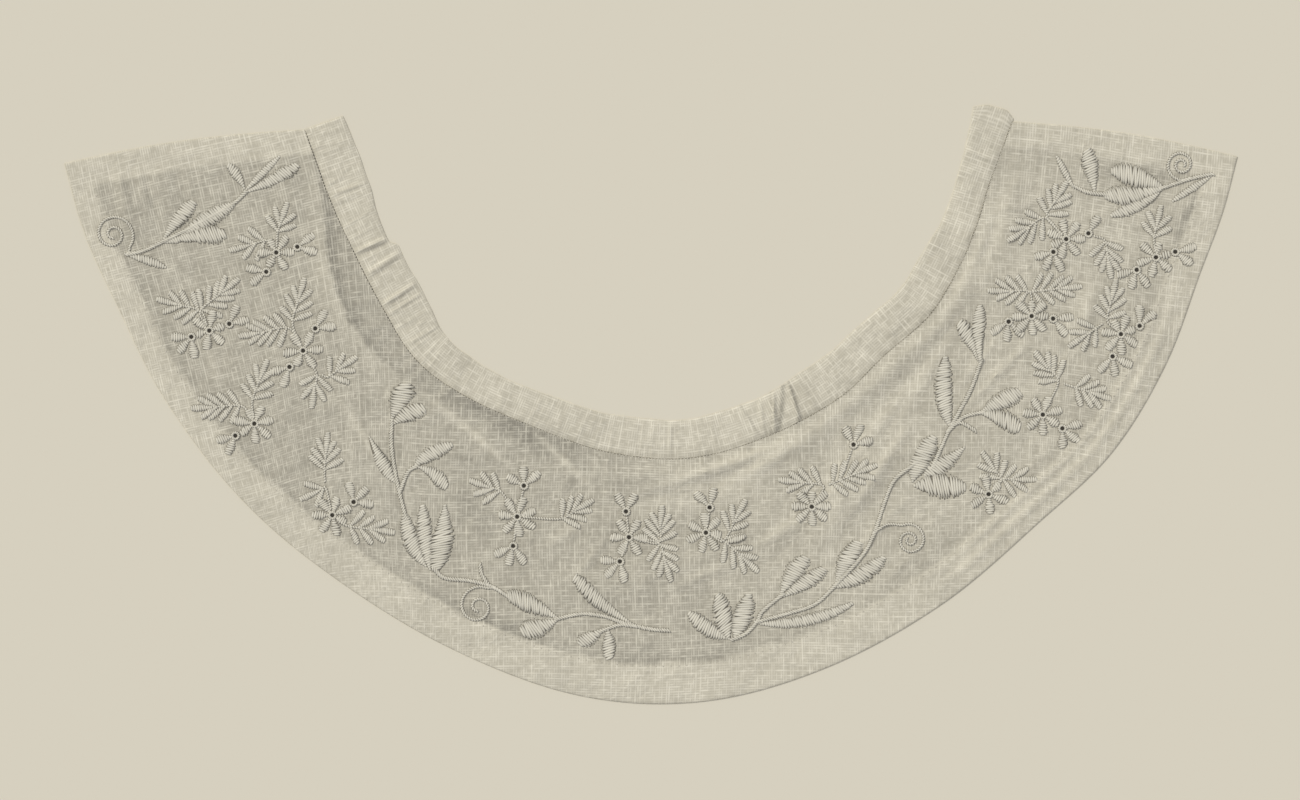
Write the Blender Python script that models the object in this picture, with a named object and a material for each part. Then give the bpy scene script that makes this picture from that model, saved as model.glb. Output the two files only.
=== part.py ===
"""A linen collar of the 1830s to 1850s, laid flat on a table.

One crescent of sheer linen is turned under at its long outer edge and at both front edges,
and a folded strip binds the neck. Flowers, fronds and trailing stems are worked on it in
padded satin stitch, and stand proud of the cloth as low pads.

The collar lies in the XY plane with its underside on Z = 0. Its back is towards -Y and its
two fronts point to +Y. The tables give millimetres.
"""

import math
from collections import namedtuple

import bmesh
import bpy
from mathutils import Vector
from mathutils.bvhtree import BVHTree
from mathutils.geometry import delaunay_2d_cdt

MM = 0.001

# Cloth
CLOTH = 1.0  # thickness of the collar's own wall
HEM_WALL = 1.0  # thickness of a turning under the collar
SEAM_GAP = 0.3  # space left between two pieces
HEM_LIFT = HEM_WALL + SEAM_GAP  # the collar rides this high over a turning
HEM_RAMP = 2.6  # the collar comes down to the table over this width
FRONT_HEM = 9.5  # width of the turnings at the two front edges
EDGE_DROP = 1.2  # the fold at an edge reaches down to the table over this width
EDGE_INNER = 1.5  # and its inside is clear of the turning from here
HEM_OUTER = 1.9  # outer edge of a turning, measured from the collar's edge
EDGE_TOP = 1.2  # height of the rounded edge at its outermost line
EDGE_SHOULDER = (0.4, 2.0)  # distance from the edge and height of its shoulder

# Plan of the collar's wall
COLUMNS = 58  # between the two front hems
HEM_COLUMNS = 50  # along the outer turning
FRONT_ROWS = 6  # up the front hems
FADE_AT_SEAM = 7.0  # folds die away over this width at the neck seam
FADE_AT_HEM = 6.0  # and at the hems
CREST_STOPS = (0.0, 0.14, 0.36, 0.64, 0.86, 1.0)  # points along the crest of a fold
FOOT_STOPS = (0.18, 0.5, 0.82)  # and along its two feet
SPACING = 4.0  # points of the plan keep this far apart

# Neckband
BAND_SEAM_EDGE = 1.5  # height of the band where it meets the collar
BAND_CROWN = 2.2  # height of the band along its middle
BAND_NECK_EDGE = 1.0  # height of the band's folded neck edge
BAND_COLUMNS = 34
TUCK_AT = 2.42  # place of the tuck, counted in sections from the left front
TUCK_STEP = 2.6  # the neck edge steps out here by this much
TUCK_FADE = 0.55  # and comes back over this many sections

# Padded embroidery
PAD_EDGE = 0.8  # height of a pad at its outline
PAD_INSIDE = 1.0  # height where pads overlap
PETAL_CROWN = 1.4
LEAF_CROWN = 2.0
LONG_LEAF = 24.0  # leaves over this length are raised further towards both ends
EYELET_RADIUS = 2.4
EYELET_DIMPLE = 0.6  # height at the eyelet's centre
PETAL_REACH = 8.2  # petals end this far from their eyelet's centre
PETAL_WIDTH = 3.7
LEAFLET_LENGTH = 7.2
LEAFLET_WIDTH = 2.9
LEAFLET_ROOT = 1.0
LEAFLET_SPREAD = 80  # the lowest leaflets stand off their rib at about this angle
STEM_WIDTH = 1.3
VINE_WIDTH = 1.5
ROOT_OVERLAP = 1.1  # a leaf starts this far inside its stem

Section = namedtuple("Section", "name seam_x seam_y edge_x edge_y hem band")
SECTIONS = (
    Section("left_front", -138.6, 109.5, -234.6, 96.0, 9.5, 16.3),
    Section("left_chest", -129.0, 82.7, -226.2, 67.1, 9.5, 17.3),
    Section("left_breast", -120.2, 63.1, -213.0, 38.3, 10.0, 14.4),
    Section("left_side", -108.2, 39.5, -195.0, 2.7, 10.5, 16.6),
    Section("left_arm", -94.2, 17.5, -166.6, -35.3, 12.5, 15.4),
    Section("left_shoulder", -74.2, 2.7, -132.2, -65.7, 14.0, 14.0),
    Section("left_nape", -46.2, -9.7, -84.2, -95.9, 14.0, 13.8),
    Section("left_back", -16.6, -19.7, -31.0, -116.3, 15.0, 15.2),
    Section("right_back", 15.8, -21.9, 19.8, -119.3, 15.5, 15.6),
    Section("right_nape", 47.4, -12.9, 69.8, -105.8, 15.0, 15.6),
    Section("right_shoulder", 75.0, 1.9, 116.6, -80.1, 14.0, 17.0),
    Section("right_arm", 93.8, 19.5, 155.8, -46.9, 13.5, 15.4),
    Section("right_side", 111.8, 35.5, 184.6, -19.3, 13.0, 16.0),
    Section("right_breast", 123.8, 55.5, 205.8, 15.5, 12.5, 15.2),
    Section("right_chest", 130.6, 71.9, 219.8, 52.7, 12.0, 13.6),
    Section("right_collarbone", 135.8, 88.7, 228.6, 76.3, 11.0, 13.0),
    Section("right_front", 144.6, 112.7, 234.6, 98.7, 10.5, 16.6),
)
LAST = len(SECTIONS) - 1
LEFT_STEP = 29.0  # distance from the left front edge to the next section
RIGHT_STEP = 24.0  # the same at the right front
FRONT_BOW = 2.4  # the front edges bow out by this much

Fold = namedtuple("Fold", "name x0 y0 x1 y1 height half bow")
FOLDS = (
    Fold("left_neck", -140.2, 63.5, -106.2, 19.5, 2.7, 8.5, 2.0),
    Fold("left_inner", -111.4, 25.5, -70.2, -26.5, 2.4, 8.5, -3.0),
    Fold("left_low", -128.2, -12.5, -100.2, -46.5, 2.2, 8.0, 1.0),
    Fold("left_hem_a", -212.0, 96.0, -206.0, 66.0, 1.9, 6.0, 0.0),
    Fold("left_hem_b", -198.0, 99.0, -191.0, 70.0, 2.1, 6.0, 0.0),
    Fold("left_band", -150.0, 107.0, -141.0, 74.0, 2.1, 6.5, 0.0),
    Fold("back_low", -44.2, -76.5, 37.8, -54.5, 2.1, 9.0, -4.0),
    Fold("back_high", -24.2, -32.5, 59.8, -8.5, 3.2, 8.5, -3.0),
    Fold("right_long", 33.8, -34.5, 139.8, 56.7, 3.5, 9.0, 0.0),
    Fold("right_middle", 60.0, -60.0, 106.0, -12.0, 2.9, 8.5, 2.0),
    Fold("right_low", 132.0, -50.0, 178.0, -10.0, 2.4, 7.5, 0.0),
    Fold("right_small", 168.0, 20.0, 179.0, 48.0, 2.2, 7.0, 1.0),
    Fold("right_front", 148.0, 92.0, 140.0, 58.0, 1.9, 6.0, 0.0),
)

Crease = namedtuple("Crease", "name at height half")  # at: counted in sections
CREASES = (
    Crease("left_upper", 1.2, 0.6, 1.6),
    Crease("tuck", 2.42, 1.2, 1.4),
    Crease("under_tuck", 2.75, 0.7, 1.8),
    Crease("left_lower", 3.15, 0.6, 1.6),
    Crease("left_turn", 3.75, 0.5, 1.8),
    Crease("back_b", 7.75, 0.5, 1.6),
    Crease("back_c", 8.35, 0.4, 1.8),
    Crease("pucker_a", 9.0, 1.3, 1.6),
    Crease("pucker_b", 9.32, 1.5, 1.8),
    Crease("right_b", 11.3, 0.5, 1.8),
    Crease("right_c", 13.6, 0.4, 1.8),
    Crease("right_top", 15.35, 0.6, 1.8),
)

# Across the band from the seam to the neck edge. end: reach past its last section, where the
# right end is rounded
Profile = namedtuple("Profile", "share height end")
BAND_PROFILE = (
    Profile(0.0, BAND_SEAM_EDGE, 1.2),
    Profile(0.22, BAND_CROWN, 3.6),
    Profile(0.7, BAND_CROWN, 2.9),
    Profile(1.0, BAND_NECK_EDGE, 0.3),
)

Flower = namedtuple("Flower", "spray x y turn petals")
FLOWERS = (
    Flower("spray_01", -149.8, 60.3, 0, 6),
    Flower("spray_02", -176.6, 29.1, 20, 6),
    Flower("spray_03", -139.1, 21.1, 5, 6),
    Flower("spray_04", -158.6, -8.1, 14, 7),
    Flower("spray_05", -127.4, -44.7, 26, 7),
    Flower("spray_06", -53.5, -45.3, 20, 7),
    Flower("spray_07", -8.8, -53.5, 0, 6),
    Flower("spray_08", 22.0, -51.7, -5, 7),
    Flower("spray_09", 64.3, -41.3, 0, 8),
    Flower("spray_10", 135.0, -36.3, -22, 6),
    Flower("spray_11", 166.0, 65.7, 0, 7),
    Flower("spray_12", 201.9, 58.4, 15, 6),
    Flower("spray_13", 152.2, 34.9, 0, 8),
    Flower("spray_14", 187.9, 27.7, 18, 7),
    Flower("spray_15", 156.7, -4.5, -35, 7),
)

Bud = namedtuple("Bud", "spray x y from_x from_y facing petals")
BUDS = (
    Bud("spray_01", -141.4, 62.6, -149.8, 60.3, 10, 2),
    Bud("spray_01", -153.8, 52.6, -149.8, 60.3, 195, 2),
    Bud("spray_02", -183.8, 26.6, -176.6, 29.1, 230, 3),
    Bud("spray_02", -168.6, 31.8, -176.6, 29.1, 40, 2),
    Bud("spray_03", -134.2, 30.0, -139.1, 21.1, 34, 2),
    Bud("spray_03", -144.5, 14.6, -139.1, 21.1, 225, 2),
    Bud("spray_04", -166.2, -12.9, -158.6, -8.1, 220, 2),
    Bud("spray_05", -118.9, -39.4, -127.4, -44.7, 50, 3),
    Bud("spray_06", -50.8, -32.9, -53.5, -45.3, 95, 3),
    Bud("spray_06", -55.1, -57.0, -53.5, -45.3, 254, 3),
    Bud("spray_07", -10.0, -43.2, -8.8, -53.5, 87, 2),
    Bud("spray_07", -12.4, -63.2, -8.8, -53.5, 230, 3),
    Bud("spray_08", 23.5, -41.6, 22.0, -51.7, 105, 2),
    Bud("spray_09", 81.0, -16.5, 76.0, -29.5, 68, 3),
    Bud("spray_11", 174.9, 68.0, 166.0, 65.7, 60, 1),
    Bud("spray_11", 160.9, 60.6, 166.0, 65.7, 245, 3),
    Bud("spray_12", 209.6, 60.6, 201.9, 58.4, -8, 2),
    Bud("spray_12", 194.2, 53.4, 201.9, 58.4, 250, 3),
    Bud("spray_13", 143.0, 32.7, 152.2, 34.9, 262, 3),
    Bud("spray_13", 160.8, 33.9, 152.2, 34.9, -25, 2),
    Bud("spray_14", 195.4, 31.0, 187.9, 27.7, 65, 2),
    Bud("spray_14", 184.6, 18.8, 187.9, 27.7, 280, 3),
    Bud("spray_15", 164.5, -10.0, 156.7, -4.5, -38, 3),
)

Frond = namedtuple("Frond", "spray from_x from_y fork_x fork_y heading length pairs")
FRONDS = (
    Frond("spray_01", -149.8, 60.3, -153.6, 65.2, 195, 7.5, 2),
    Frond("spray_01", -149.8, 60.3, -149.4, 68.2, 72, 4.8, 2),
    Frond("spray_02", -176.6, 29.1, -180.2, 37.1, 165, 10.0, 3),
    Frond("spray_02", -176.6, 29.1, -180.2, 37.1, 40, 12.0, 3),
    Frond("spray_03", -139.1, 21.1, -143.4, 32.3, 75, 10.5, 3),
    Frond("spray_03", -139.1, 21.1, -145.0, 30.3, 190, 12.0, 3),
    Frond("spray_03", -139.1, 21.1, -133.8, 12.1, 262, 6.0, 2),
    Frond("spray_03", -133.8, 12.1, -129.2, 10.7, 35, 6.0, 2),
    Frond("spray_04", -158.6, -8.1, -159.5, 1.1, 70, 9.5, 3),
    Frond("spray_04", -158.6, -8.1, -163.8, -0.9, 183, 12.0, 3),
    Frond("spray_05", -130.2, -33.7, -130.6, -27.0, 85, 7.4, 3),
    Frond("spray_05", -127.4, -44.7, -130.2, -33.7, 205, 3.0, 1),
    Frond("spray_05", -127.4, -44.7, -121.4, -48.9, -8, 11.0, 3),
    Frond("spray_06", -53.5, -45.3, -59.9, -35.3, 160, 5.4, 2),
    Frond("spray_06", -53.5, -45.3, -36.2, -46.1, 30, 7.0, 3),
    Frond("spray_07", -8.8, -53.5, 3.1, -55.8, 85, 7.0, 3),
    Frond("spray_07", -8.8, -53.5, 3.1, -55.8, -72, 8.0, 3),
    Frond("spray_08", 22.0, -51.7, 29.1, -54.8, 62, 10.5, 3),
    Frond("spray_08", 22.0, -51.7, 29.1, -54.8, -42, 10.5, 3),
    Frond("spray_09", 64.3, -41.3, 68.9, -32.9, 172, 10.0, 3),
    Frond("spray_09", 68.9, -32.9, 71.8, -32.1, 22, 12.0, 3),
    Frond("spray_10", 135.0, -36.3, 140.1, -30.4, 125, 5.5, 2),
    Frond("spray_10", 135.0, -36.3, 140.1, -30.4, 0, 6.0, 2),
    Frond("spray_11", 166.0, 65.7, 158.2, 74.9, 60, 8.0, 3),
    Frond("spray_11", 166.0, 65.7, 157.4, 74.3, 212, 9.5, 3),
    Frond("spray_11", 174.9, 68.0, 181.4, 65.2, -80, 7.2, 3),
    Frond("spray_12", 201.9, 58.4, 201.1, 65.9, 78, 5.6, 2),
    Frond("spray_13", 152.2, 34.9, 151.3, 44.6, 178, 8.6, 3),
    Frond("spray_13", 151.3, 44.6, 151.8, 44.7, 6, 12.5, 3),
    Frond("spray_14", 187.9, 27.7, 182.4, 33.3, 78, 8.6, 3),
    Frond("spray_14", 182.4, 33.3, 178.6, 30.6, 214, 6.0, 2),
    Frond("spray_15", 156.7, -4.5, 162.8, 8.8, 128, 7.2, 3),
    Frond("spray_15", 162.8, 8.8, 169.1, 6.6, -18, 7.5, 3),
)

# shape: oval, drop (broad towards its tip) or spear (broad towards its root)
Leaf = namedtuple("Leaf", "spray shape root_x root_y tip_x tip_y width bow")
LEAVES = (
    Leaf("vine_left", "drop", -195.5, 65.5, -180.8, 79.6, 4.2, -0.8),
    Leaf("vine_left", "oval", -192.0, 66.6, -167.5, 79.8, 5.2, 0.8),
    Leaf("vine_left", "drop", -195.5, 64.3, -170.7, 67.9, 6.4, 0.5),
    Leaf("vine_left", "drop", -162.4, 85.2, -168.9, 95.2, 3.4, -0.8),
    Leaf("vine_left", "oval", -162.4, 85.0, -148.7, 98.6, 2.6, 0.0),
    Leaf("vine_left", "drop", -162.4, 84.4, -141.6, 95.2, 4.4, -0.8),
    Leaf("vine_left", "oval", -208.8, 59.0, -194.2, 54.5, 2.9, 0.5),
    Leaf("vine_low", "drop", -103.8, -6.4, -98.2, 7.5, 7.2, -0.6),
    Leaf("vine_low", "drop", -103.4, -8.4, -91.0, -1.7, 6.2, 0.6),
    Leaf("vine_low", "spear", -102.6, -31.2, -112.5, -13.5, 4.6, 0.8),
    Leaf("vine_low", "oval", -94.6, -25.1, -79.8, -16.5, 5.0, 1.0),
    Leaf("vine_low", "drop", -93.6, -25.1, -81.9, -33.1, 4.6, 1.2),
    Leaf("vine_low", "drop", -87.9, -65.8, -98.2, -45.1, 5.6, -1.6),
    Leaf("vine_low", "oval", -87.7, -65.0, -91.0, -41.5, 4.9, -0.8),
    Leaf("vine_low", "spear", -86.9, -66.3, -82.9, -41.5, 8.6, -1.2),
    Leaf("vine_low", "drop", -37.2, -86.0, -56.8, -77.2, 6.2, -1.0),
    Leaf("vine_low", "drop", -37.4, -86.4, -51.3, -91.4, 6.4, 0.4),
    Leaf("vine_low", "drop", -7.4, -88.2, -30.4, -69.6, 4.9, 1.2),
    Leaf("vine_low", "drop", -19.0, -90.2, -28.3, -96.1, 4.9, 0.0),
    Leaf("vine_low", "drop", -17.3, -89.6, -16.6, -101.7, 4.5, 0.0),
    Leaf("vine_right", "oval", 32.2, -94.6, 15.3, -83.5, 4.9, 1.2),
    Leaf("vine_right", "oval", 32.2, -94.5, 26.8, -77.0, 5.8, -0.6),
    Leaf("vine_right", "oval", 33.0, -94.3, 39.5, -77.0, 5.8, -0.8),
    Leaf("vine_right", "drop", 51.6, -77.0, 61.8, -61.7, 6.0, 0.6),
    Leaf("vine_right", "drop", 52.2, -77.4, 68.9, -66.3, 5.4, -0.6),
    Leaf("vine_right", "oval", 42.0, -87.8, 80.3, -80.0, 4.0, -3.0),
    Leaf("vine_right", "drop", 73.8, -72.5, 82.9, -55.6, 6.0, 0.6),
    Leaf("vine_right", "oval", 73.6, -73.5, 92.9, -61.7, 5.8, -1.2),
    Leaf("vine_right", "oval", 104.6, -32.1, 112.6, -13.7, 6.6, 0.6),
    Leaf("vine_right", "spear", 105.4, -32.0, 125.2, -17.8, 6.2, -0.8),
    Leaf("vine_right", "oval", 104.8, -32.3, 125.2, -33.3, 8.0, 0.4),
    Leaf("vine_right", "oval", 119.6, -9.3, 117.6, 18.3, 5.8, 1.6),
    Leaf("vine_right", "drop", 131.6, 15.9, 123.4, 32.1, 5.8, -0.6),
    Leaf("vine_right", "oval", 131.9, 15.9, 131.4, 38.9, 5.2, 0.8),
    Leaf("vine_right", "drop", 131.6, -3.6, 147.2, 4.5, 6.0, 0.0),
    Leaf("vine_right", "drop", 131.6, -3.6, 147.2, -9.5, 6.2, 0.6),
    Leaf("vine_top", "oval", 204.6, 86.5, 184.4, 92.9, 7.0, -0.8),
    Leaf("vine_top", "oval", 204.4, 86.1, 181.4, 83.3, 5.6, 0.8),
    Leaf("vine_top", "oval", 203.8, 85.7, 184.4, 75.9, 4.2, 1.6),
    Leaf("vine_top", "drop", 177.4, 84.2, 174.2, 101.0, 6.0, -0.4),
    Leaf("vine_top", "oval", 168.9, 86.1, 162.3, 98.6, 2.4, 0.0),
    Leaf("vine_top", "oval", 224.0, 90.9, 208.7, 81.0, 2.7, 0.0),
)

Stem = namedtuple("Stem", "spray route")
STEMS = (
    Stem("vine_left", ((-209.8, 59.5), (-203.0, 61.1), (-195.5, 64.6), (-180.0, 72.4),
                       (-167.5, 79.6), (-162.0, 84.6))),
    Stem("vine_low", ((-103.6, -7.0), (-103.8, -17.0), (-101.8, -30.3), (-98.0, -46.0))),
    Stem("vine_low", ((-100.6, -35.5), (-97.2, -27.4), (-93.6, -25.0))),
    Stem("vine_low", ((-87.2, -65.8), (-82.4, -69.8), (-72.7, -70.8), (-63.5, -73.3),
                      (-56.0, -78.0))),
    Stem("vine_low", ((-68.4, -64.6), (-67.6, -68.4), (-64.6, -73.2))),
    Stem("vine_low", ((-38.0, -86.2), (-27.8, -84.1), (-18.6, -85.1), (-11.5, -87.6),
                      (-0.2, -90.2), (7.0, -90.7))),
    Stem("vine_low", ((-6.4, -89.0), (-13.0, -88.6), (-20.6, -91.2))),
    Stem("vine_right", ((32.2, -94.5), (37.6, -92.2), (42.4, -87.2), (44.6, -83.0),
                        (52.8, -76.2))),
    Stem("vine_right", ((42.0, -87.4), (55.6, -83.7), (65.8, -80.1), (74.2, -72.1),
                        (84.4, -60.9), (89.3, -51.7), (93.4, -39.5), (97.5, -30.3),
                        (106.0, -23.7))),
    Stem("vine_right", ((112.4, -26.0), (115.6, -18.6), (119.4, -10.2), (127.6, 5.0),
                        (131.9, 17.0))),
    Stem("vine_right", ((118.8, -11.0), (125.0, -5.4), (133.0, -3.4))),
    Stem("vine_right", ((120.6, -8.4), (124.4, -7.8), (129.6, -10.8))),
    Stem("vine_top", ((224.4, 91.7), (216.6, 90.1), (204.0, 86.1))),
    Stem("vine_top", ((182.6, 83.5), (174.6, 84.5), (168.7, 87.1))),
)

# A tendril leaves its stem at from_x, from_y and winds in from its outer radius.
Tendril = namedtuple("Tendril", "spray from_x from_y x y radius inner start turns")
TENDRILS = (
    Tendril("vine_left", -209.4, 59.7, -214.8, 67.0, 6.9, 1.5, -40, 1.85),
    Tendril("vine_low", -60.6, -74.8, -68.8, -81.2, 7.2, 1.8, 55, 1.45),
    Tendril("vine_right", 89.8, -51.0, 103.6, -55.0, 6.6, 1.3, 125, -1.95),
    Tendril("vine_top", 217.4, 90.3, 212.8, 94.9, 5.4, 1.3, -55, -1.9),
)

LINEN_SINGLE = (0.47, 0.44, 0.37)
LINEN_DOUBLE = (0.56, 0.53, 0.44)
COTTON_THREAD = (0.60, 0.57, 0.49)


def clear_scene():
    for old in list(bpy.data.objects):
        bpy.data.objects.remove(old)


def material(name, colour, roughness):
    made = bpy.data.materials.new(name)
    made.use_nodes = True
    shader = made.node_tree.nodes["Principled BSDF"]
    shader.inputs["Base Color"].default_value = (*colour, 1.0)
    shader.inputs["Roughness"].default_value = roughness
    shader.inputs["Metallic"].default_value = 0.0
    return made


def add_piece(name, points, faces, finish):
    """One object from points in millimetres and its faces, with its normals pointing out."""
    mesh = bpy.data.meshes.new(name)
    mesh.from_pydata([tuple(c * MM for c in p) for p in points], [], faces)
    mesh.validate()
    work = bmesh.new()
    work.from_mesh(mesh)
    bmesh.ops.recalc_face_normals(work, faces=work.faces)
    work.to_mesh(mesh)
    work.free()
    mesh.shade_smooth()
    mesh.set_sharp_from_angle(angle=math.radians(50))
    mesh.materials.append(finish)
    piece = bpy.data.objects.new(name, mesh)
    bpy.context.scene.collection.objects.link(piece)
    return piece


def smooth(values, at):
    """A Catmull-Rom curve through numbers or tuples that stand one unit apart."""
    last = len(values) - 1
    i = min(int(max(at, 0.0)), last - 1)
    u = at - i
    b, c = values[i], values[i + 1]
    if not isinstance(b, (tuple, list)):
        wrapped = smooth([(v,) for v in values], at)
        return wrapped[0]
    a = values[i - 1] if i else tuple(2 * p - q for p, q in zip(b, c))
    d = values[i + 2] if i + 2 <= last else tuple(2 * q - p for p, q in zip(b, c))
    return tuple(
        0.5 * (2 * q + (r - p) * u + (2 * p - 5 * q + 4 * r - s) * u * u
               + (3 * q - p - 3 * r + s) * u ** 3)
        for p, q, r, s in zip(a, b, c, d)
    )


def blend(low, high, share):
    share = min(1.0, max(0.0, share))
    return low + (high - low) * share * share * (3 - 2 * share)


def heading(degrees):
    return Vector((math.cos(math.radians(degrees)), math.sin(math.radians(degrees))))


def seam_point(at):
    return Vector(smooth([(r.seam_x, r.seam_y) for r in SECTIONS], at))


def edge_point(at):
    return Vector(smooth([(r.edge_x, r.edge_y) for r in SECTIONS], at))


def hem_width(at):
    return smooth([r.hem for r in SECTIONS], at)


def from_front(at):
    """Distance from the nearer front edge, measured along the collar."""
    return min(at * LEFT_STEP, (LAST - at) * RIGHT_STEP)


def collar_point(at, in_from_edge):
    """Plan position of the point that lies in_from_edge millimetres inside the outer edge."""
    seam, edge = seam_point(at), edge_point(at)
    across = edge - seam
    share = 1.0 - in_from_edge / across.length
    bow = FRONT_BOW * math.sin(math.pi * share)
    near = Vector((0.0, 0.0))
    if at < 1:
        out = (edge_point(0) - edge_point(1)).normalized()
        near = out * bow * (1 - at) ** 2
    elif at > LAST - 1:
        out = (edge_point(LAST) - edge_point(LAST - 1)).normalized()
        near = out * bow * (at - LAST + 1) ** 2
    return seam + across * share + near


def fold_lift(x, y):
    """Height that the soft folds raise the cloth by at a point of the plan."""
    lift = 0.0
    for f in FOLDS:
        run = Vector((f.x1 - f.x0, f.y1 - f.y0))
        rel = Vector((x - f.x0, y - f.y0))
        along = rel.dot(run) / run.length_squared
        if not 0.0 < along < 1.0:
            continue
        off = (run.x * rel.y - run.y * rel.x) / run.length - 4 * f.bow * along * (1 - along)
        if abs(off) < f.half:
            ridge = 0.5 + 0.5 * math.cos(math.pi * off / f.half)
            lift = max(lift, f.height * ridge * math.sin(math.pi * along) ** 0.7)
    return lift


def hem_share(distance, width):
    """1 over a turning, down to 0 where the cloth is back on the table."""
    start = width + 2 * SEAM_GAP
    return min(1.0, max(0.0, (start + HEM_RAMP - distance) / HEM_RAMP))


def collar_heights(at, in_from_edge):
    """(underside, top) of the collar's wall."""
    front, hem = from_front(at), hem_width(at)
    spot = collar_point(at, in_from_edge)
    width = (edge_point(at) - seam_point(at)).length
    raised = HEM_LIFT * max(hem_share(in_from_edge, hem), hem_share(front, FRONT_HEM))
    hem_in = hem + HEM_RAMP
    front_in = FRONT_HEM + HEM_RAMP
    lift = fold_lift(spot.x, spot.y)
    lift *= blend(0, 1, (width - in_from_edge) / FADE_AT_SEAM)
    lift *= blend(0, 1, (in_from_edge - hem_in) / FADE_AT_HEM)
    lift *= blend(0, 1, (front - front_in + FADE_AT_HEM) / FADE_AT_HEM)
    near = min(front, in_from_edge)
    low, top = raised + lift, raised + lift + CLOTH
    if near <= EDGE_DROP:
        low = 0.0
        shoulder_at, shoulder = EDGE_SHOULDER
        if near < shoulder_at:
            top = EDGE_TOP + (shoulder - EDGE_TOP) * near / shoulder_at
        else:
            top = shoulder + (top - shoulder) * (near - shoulder_at) / (EDGE_DROP - shoulder_at)
    return low, top


def edge_stops(hem):
    """Distances from an edge at which the wall needs a line of points."""
    start = hem + 2 * SEAM_GAP
    return [0.0, EDGE_SHOULDER[0], EDGE_DROP, EDGE_INNER, start, start + HEM_RAMP]


def place_on_collar(x, y):
    """(at, in_from_edge) of a point of the plan."""
    best = None
    for i in range(LAST * 25 + 1):
        seam, edge = seam_point(i / 25), edge_point(i / 25)
        across = (edge - seam).normalized()
        rel = Vector((x, y)) - seam
        off = abs(across.x * rel.y - across.y * rel.x)
        if rel.dot(across) > -20 and (best is None or off < best[0]):
            best = (off, i / 25, (edge - seam).length - rel.dot(across))
    return best[1:]


def fold_points():
    """Points of the plan along the crest and the two feet of every fold."""
    spots = []
    for f in FOLDS:
        start, run = Vector((f.x0, f.y0)), Vector((f.x1 - f.x0, f.y1 - f.y0))
        side = Vector((-run.y, run.x)).normalized()
        for offset, stops in ((0, CREST_STOPS), (-f.half, FOOT_STOPS), (f.half, FOOT_STOPS)):
            for s in stops:
                spot = start + run * s + side * (offset + 4 * f.bow * s * (1 - s))
                at, inside = place_on_collar(spot.x, spot.y)
                width = (edge_point(at) - seam_point(at)).length
                clear = hem_width(at) + HEM_RAMP + 3
                if from_front(at) > FRONT_HEM + HEM_RAMP + 3 and clear < inside < width - 4:
                    if all((spot - Vector(other[:2])).length > SPACING for other in spots):
                        spots.append((spot.x, spot.y, at, inside))
    return spots


def relief(name, plan, edges, loops, heights_at, finish):
    """A closed wall over a plan. heights_at(spots, sources, rim, triangles) gives its heights.

    Where two outlines meet in a single point, a small square joins them.
    """
    plan, loops = [Vector(p) for p in plan], list(loops)
    touching = True
    while touching:
        result = delaunay_2d_cdt(plan, edges, loops, 1, 0.0001, True)
        triangles = [t for t, owner in zip(result[2], result[5]) if owner]
        used = sorted({i for t in triangles for i in t})
        place = {old: new for new, old in enumerate(used)}
        triangles = [tuple(place[i] for i in t) for t in triangles]
        sides = {(a, b) for t in triangles for a, b in zip(t, t[1:] + t[:1])}
        rim = {(a, b) for a, b in sides if (b, a) not in sides}
        spots = [Vector(result[0][i]) for i in used]
        starts = [a for a, b in rim]
        touching = sorted({a for a in starts if starts.count(a) > 1})
        for i in touching:
            loops.append(list(range(len(plan), len(plan) + 4)))
            plan += [spots[i] + 0.6 * heading(45 + 90 * k) for k in range(4)]
    sources = [result[3][i] for i in used]
    lows, tops = heights_at(spots, sources, {i for side in rim for i in side}, triangles)
    points = [(s.x, s.y, z) for s, z in zip(spots, tops)]
    points += [(s.x, s.y, z) for s, z in zip(spots, lows)]
    under = len(spots)
    faces = triangles + [tuple(under + i for i in reversed(t)) for t in triangles]
    for a, b in rim:
        faces += [(b, a, under + a), (b, under + a, under + b)]
    add_piece(name, points, faces, finish)
    return BVHTree.FromPolygons([Vector(p) for p in points], faces)


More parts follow.
